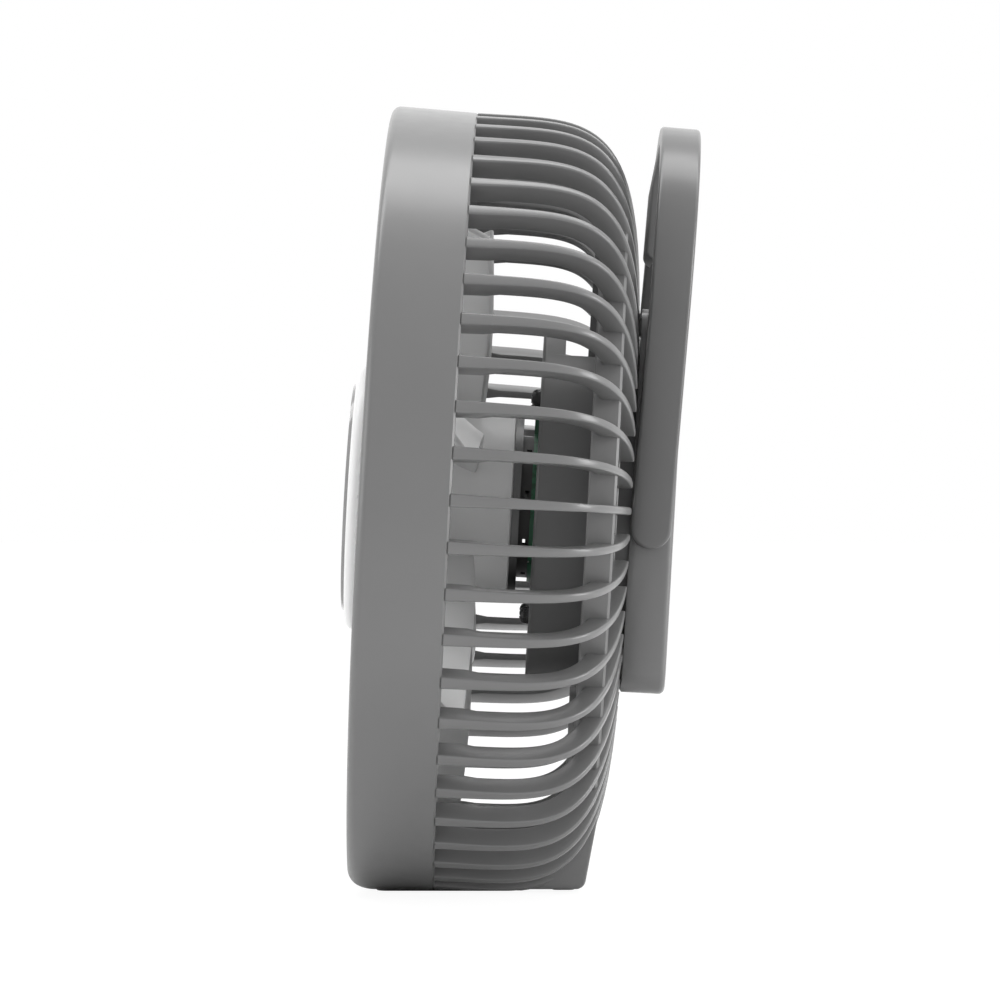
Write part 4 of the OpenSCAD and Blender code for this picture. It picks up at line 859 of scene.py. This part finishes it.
grip = prism("grip_block",
             [(TONGUE_Y, GRIP_TOP), (TONGUE_Y - GRIP_THIN, GRIP_TOP), (GRIP_FRONT, GRIP_FULL_Z)]
             + arc((GRIP_FRONT + GRIP_END_R, GRIP_LOW + GRIP_END_R), GRIP_END_R, 180, 250, 8)
             + [(TONGUE_Y, GRIP_LOW)], -GRIP_HALF, GRIP_HALF)
pick(grip, edges=lambda e: not runs(e, "x") and middle(e).y < TONGUE_Y - GRIP_PROUD)
bpy.ops.mesh.bevel(offset=GRIP_EDGE, segments=4, affect="EDGES")
arch_space = start_piece("arch_space")
rod(ARM_IN - SEAT, SPACE_LONG, (0, 0, ARCH_Z), vertices=SPACE_STEPS)
combine(grip, arch_space, "INTERSECT")
grip_rubber = moulded("grip_rubber", 0.19, 0.6, grain=0.4)
set_piece(grip, grip_rubber, body="arm", replaces=["grip_pad"],
          lean=ARM_LEAN, pivot=PIVOT)


# ---- Power button
# A pale moulded key with a dished face and a rounded rim. Its white plastic is coloured
# mid grey, as painted shade against the rear lamp's glare. It stands in the shell's round
# hole, and a flange inside keeps it from falling out.
KEY_FACE, KEY_TOP, KEY_EDGE = 0.0742, 0.076, 0.0006
FLANGE_R, FLANGE_T, KEY_STEPS = 0.007, 0.0005, 96
DISH = ((0.7, 0.0001), (0.35, 0.0003), (0, 0.0004))

key = turned_piece("round_key",
                   [(0, KEY_FACE), (FLANGE_R, KEY_FACE), (FLANGE_R, KEY_FACE + FLANGE_T),
                    (BUTTON_R, KEY_FACE + FLANGE_T), (BUTTON_R, KEY_TOP - KEY_EDGE)]
                   + arc((BUTTON_R - KEY_EDGE, KEY_TOP - KEY_EDGE), KEY_EDGE, 0, 90, 5)
                   + [(BUTTON_R * share, KEY_TOP - drop) for share, drop in DISH], KEY_STEPS)
# Painted shade: a darker copy of the cap's white plastic, toned down to mid grey under the rear
# lamp.
key_white_painted_shade = moulded("key_white_painted_shade", 0.5, 0.34, shift=0.015)
set_piece(key, key_white_painted_shade, body="button", replaces=["power_button"],
          pivot=(0, 0, BUTTON_Z))


# ---- Small parts on the motor board
# Nine pairs of small black chips, soldered round the ring-shaped board. They are seen in
# the gap behind the motor's bell.
BOARD_FRONT, PARTS_R, PARTS_COUNT, CHIP_EDGE = 0.0401, 0.0158, 9, 0.00012
CHIPS = ((0, 0, 0.0024, 0.0016, 0.0009), (0.0033, -0.0006, 0.0012, 0.0007, 0.0006))

parts = start_piece("board_parts")
for x, z, w, h, t in CHIPS:
    bpy.ops.mesh.primitive_cube_add(size=1, location=(x, BOARD_FRONT - t / 2, PARTS_R + z),
                                    scale=(w, t, h))
bpy.ops.mesh.select_all(action="SELECT")
bpy.ops.mesh.bevel(offset=CHIP_EDGE, segments=2, affect="EDGES")
copy_round(PARTS_COUNT)
close_mesh(CHIP_WELD)
chip_resin = moulded("chip_resin", 0.05, 0.5)
set_piece(parts, chip_resin)


# ---- Coil former's rear wall
# The black moulded crown that holds the windings off the motor board: a thin wall with
# nine slots, where the wires pass out. It fills most of the gap behind the bell.
CROWN_R, CROWN_T, CROWN_FRONT, CROWN_BACK = 0.0179, 0.0012, 0.0368, 0.0401
SLOT_HALF, SLOT_FRONT, SLOT_BACK = 0.0009, CROWN_BACK - 0.0016, CROWN_BACK - 0.0004
SLOT_IN, SLOT_OUT, CROWN_STEPS = CROWN_R - 0.003, CROWN_R + 0.001, 96

crown = turned_piece("coil_crown", [
    (CROWN_R, CROWN_FRONT), (CROWN_R, CROWN_BACK), (CROWN_R - CROWN_T, CROWN_BACK),
    (CROWN_R - CROWN_T, CROWN_FRONT), (CROWN_R, CROWN_FRONT)], CROWN_STEPS)
wire_slots = block("wire_slots", (-SLOT_HALF, SLOT_FRONT, SLOT_IN),
                   (SLOT_HALF, SLOT_BACK, SLOT_OUT))
bpy.ops.object.mode_set(mode="EDIT")
copy_round(PARTS_COUNT)
combine(crown, wire_slots)
set_piece(crown, chip_resin)


# ---- Steel and aluminium parts inside
# Screws, bearings, shaft, clip, bell, tube, tabs and socket keep their CAD solids. They are
# turned, stamped or drawn metal, nickel plated, blackened or left bare.
METAL_LINE, METAL_STAIN, STAIN_DARK, STAIN_PALE = 0.0004, 0.004, 0.86, 1.08
LINE_ROUGH, STAIN_ROUGH, LINE_BUMP, LINE_DEEP = 0.2, 0.1, 0.25, 0.00002


def metal(name, grey, rough, stretch=(1, 1, 1)):
    """Worked metal: fine lines along one direction, slow stains and small dents."""
    finish = Finish(name, Metallic=1.0)
    lines = finish.cloud(METAL_LINE, 3, stretch)
    stains = finish.cloud(METAL_STAIN, 3)
    finish.shade(
        Base_Color=finish.tint(stains, [grey * STAIN_DARK] * 3, [grey * STAIN_PALE] * 3),
        Roughness=rough + (lines - 0.5) * LINE_ROUGH + (stains - 0.5) * STAIN_ROUGH,
        Normal=finish.bump(lines, LINE_BUMP, LINE_DEEP))
    return finish.material


def dress(material, *names):
    """Gives CAD solids that stay their real finish."""
    for name in names:
        nodes[name].data.materials.clear()
        nodes[name].data.materials.append(material)


dress(metal("nickel_plate", 0.62, 0.3), "motor_screws", "bearings", "rotor_shaft", "shell_screws",
      "board_screws", "pivot_washers", "pivot_screws")
dress(metal("black_bell_steel", 0.09, 0.34, (1, 12, 1)), "rotor_bell")
dress(metal("turned_aluminium", 0.66, 0.32, (1, 14, 1)), "bearing_tube")
dress(metal("nickel_strip", 0.55, 0.26, (14, 1, 1)), "cell_tabs", "usb_socket")
dress(black_steel, "shaft_clip")


# ---- Stator, magnets and springs
# The stator is stacked steel sheet with nine coils of enamelled copper wire, inside a ring of
# bonded ferrite. The arm's two torsion springs are wound from steel wire.
BAND_TURN, BAND_WOBBLE, BAND_ROUGH, BAND_BUMP, BAND_DEEP = 0.31416, 0.6, 0.12, 0.6, 0.00006


def banded(name, first, second, pitch, rough, turn=(0, 0, 0), **values):
    """Layers or windings: parallel bands of a given pitch."""
    finish = Finish(name, **values)
    bands = finish.node("ShaderNodeTexWave",
                        {"Vector": finish.coords(turn=turn), "Scale": BAND_TURN / pitch,
                         "Distortion": BAND_WOBBLE, "Detail": 1.0}, out="Fac", bands_direction="Y")
    finish.shade(Base_Color=finish.tint(bands, second, first),
                 Roughness=rough + (bands - 0.5) * BAND_ROUGH,
                 Normal=finish.bump(bands, BAND_BUMP, BAND_DEEP))
    return finish.material


dress(banded("laminated_sheet", (0.3, 0.3, 0.3), (0.12, 0.12, 0.12), 0.0007, 0.42, Metallic=0.8),
      "stator_core")
dress(banded("enamelled_wire", (0.62, 0.26, 0.1), (0.3, 0.1, 0.04), 0.00045, 0.32, Metallic=0.7),
      "stator_coils")
dress(banded("spring_coils", (0.6, 0.6, 0.6), (0.2, 0.2, 0.2), 0.0006, 0.3,
             turn=(0, 0, math.pi / 2), Metallic=1.0), "clip_springs")
dress(moulded("bonded_ferrite", 0.06, 0.62, grain=0.5, shift=0.2), "magnet_ring")


# ---- Circuit boards
# Two glass-fibre boards with green solder mask: the motor's ring-shaped one on the pod's
# face, and the control board in the block, held by four screws.
TRACK_CELLS, TRACK_EDGE, TRACK_BUMP, TRACK_DEEP = 420, 0.55, 0.4, 0.00005
PAD_CELLS, PAD_R, TIN_SHINE, MASK_ROUGH, TIN_ROUGH = 260, 0.14, 0.9, 0.42, 0.14
MASK_GREEN, TRACK_GREEN, TIN_GREY = (0.02, 0.11, 0.05), (0.03, 0.17, 0.08), (0.7, 0.7, 0.68, 1)


def circuit(name):
    """Green solder mask over copper tracks, with pale dots where pads are tinned."""
    finish = Finish(name)
    cells = finish.node("ShaderNodeTexVoronoi", {"Vector": finish.coords(), "Scale": TRACK_CELLS},
                        out="Distance", distance="MANHATTAN")
    tracks = cells > TRACK_EDGE
    pads = finish.node("ShaderNodeTexVoronoi", {"Vector": finish.coords(), "Scale": PAD_CELLS},
                       out="Distance")
    tinned = 1 - (pads > PAD_R)
    mask = finish.tint(tracks, MASK_GREEN, TRACK_GREEN)
    finish.shade(Base_Color=finish.node("ShaderNodeMix", {0: tinned, 6: mask, 7: TIN_GREY}, out=2,
                                        data_type="RGBA"),
                 Metallic=tinned * TIN_SHINE, Roughness=MASK_ROUGH - tinned * TIN_ROUGH,
                 Normal=finish.bump(tracks, TRACK_BUMP, TRACK_DEEP))
    return finish.material


dress(circuit("solder_mask"), "motor_board", "control_board")


# ---- Battery, leads and small mouldings inside
# Two cells in shrink sleeves lie in a dark moulded tray, and insulated leads run to the
# control board. Chassis, switch, plunger, lights and light pipes are moulded plastic.
dress(moulded("black_insulation", 0.03, 0.4, grain=0.1), "motor_leads")
dress(moulded("grey_insulation", 0.3, 0.42, grain=0.1), "battery_leads")
dress(moulded("shrink_sleeve", (0.2, 0.27, 0.34), 0.3, grain=0.1, Coat_Weight=0.4),
      "battery_cells")
dress(moulded("frosted_clear", 0.78, 0.28, grain=0.1, Coat_Weight=0.5), "light_pipes")
dress(dark_plastic, "battery_tray", "chassis", "power_switch")
dress(white_plastic, "switch_plunger", "status_leds")
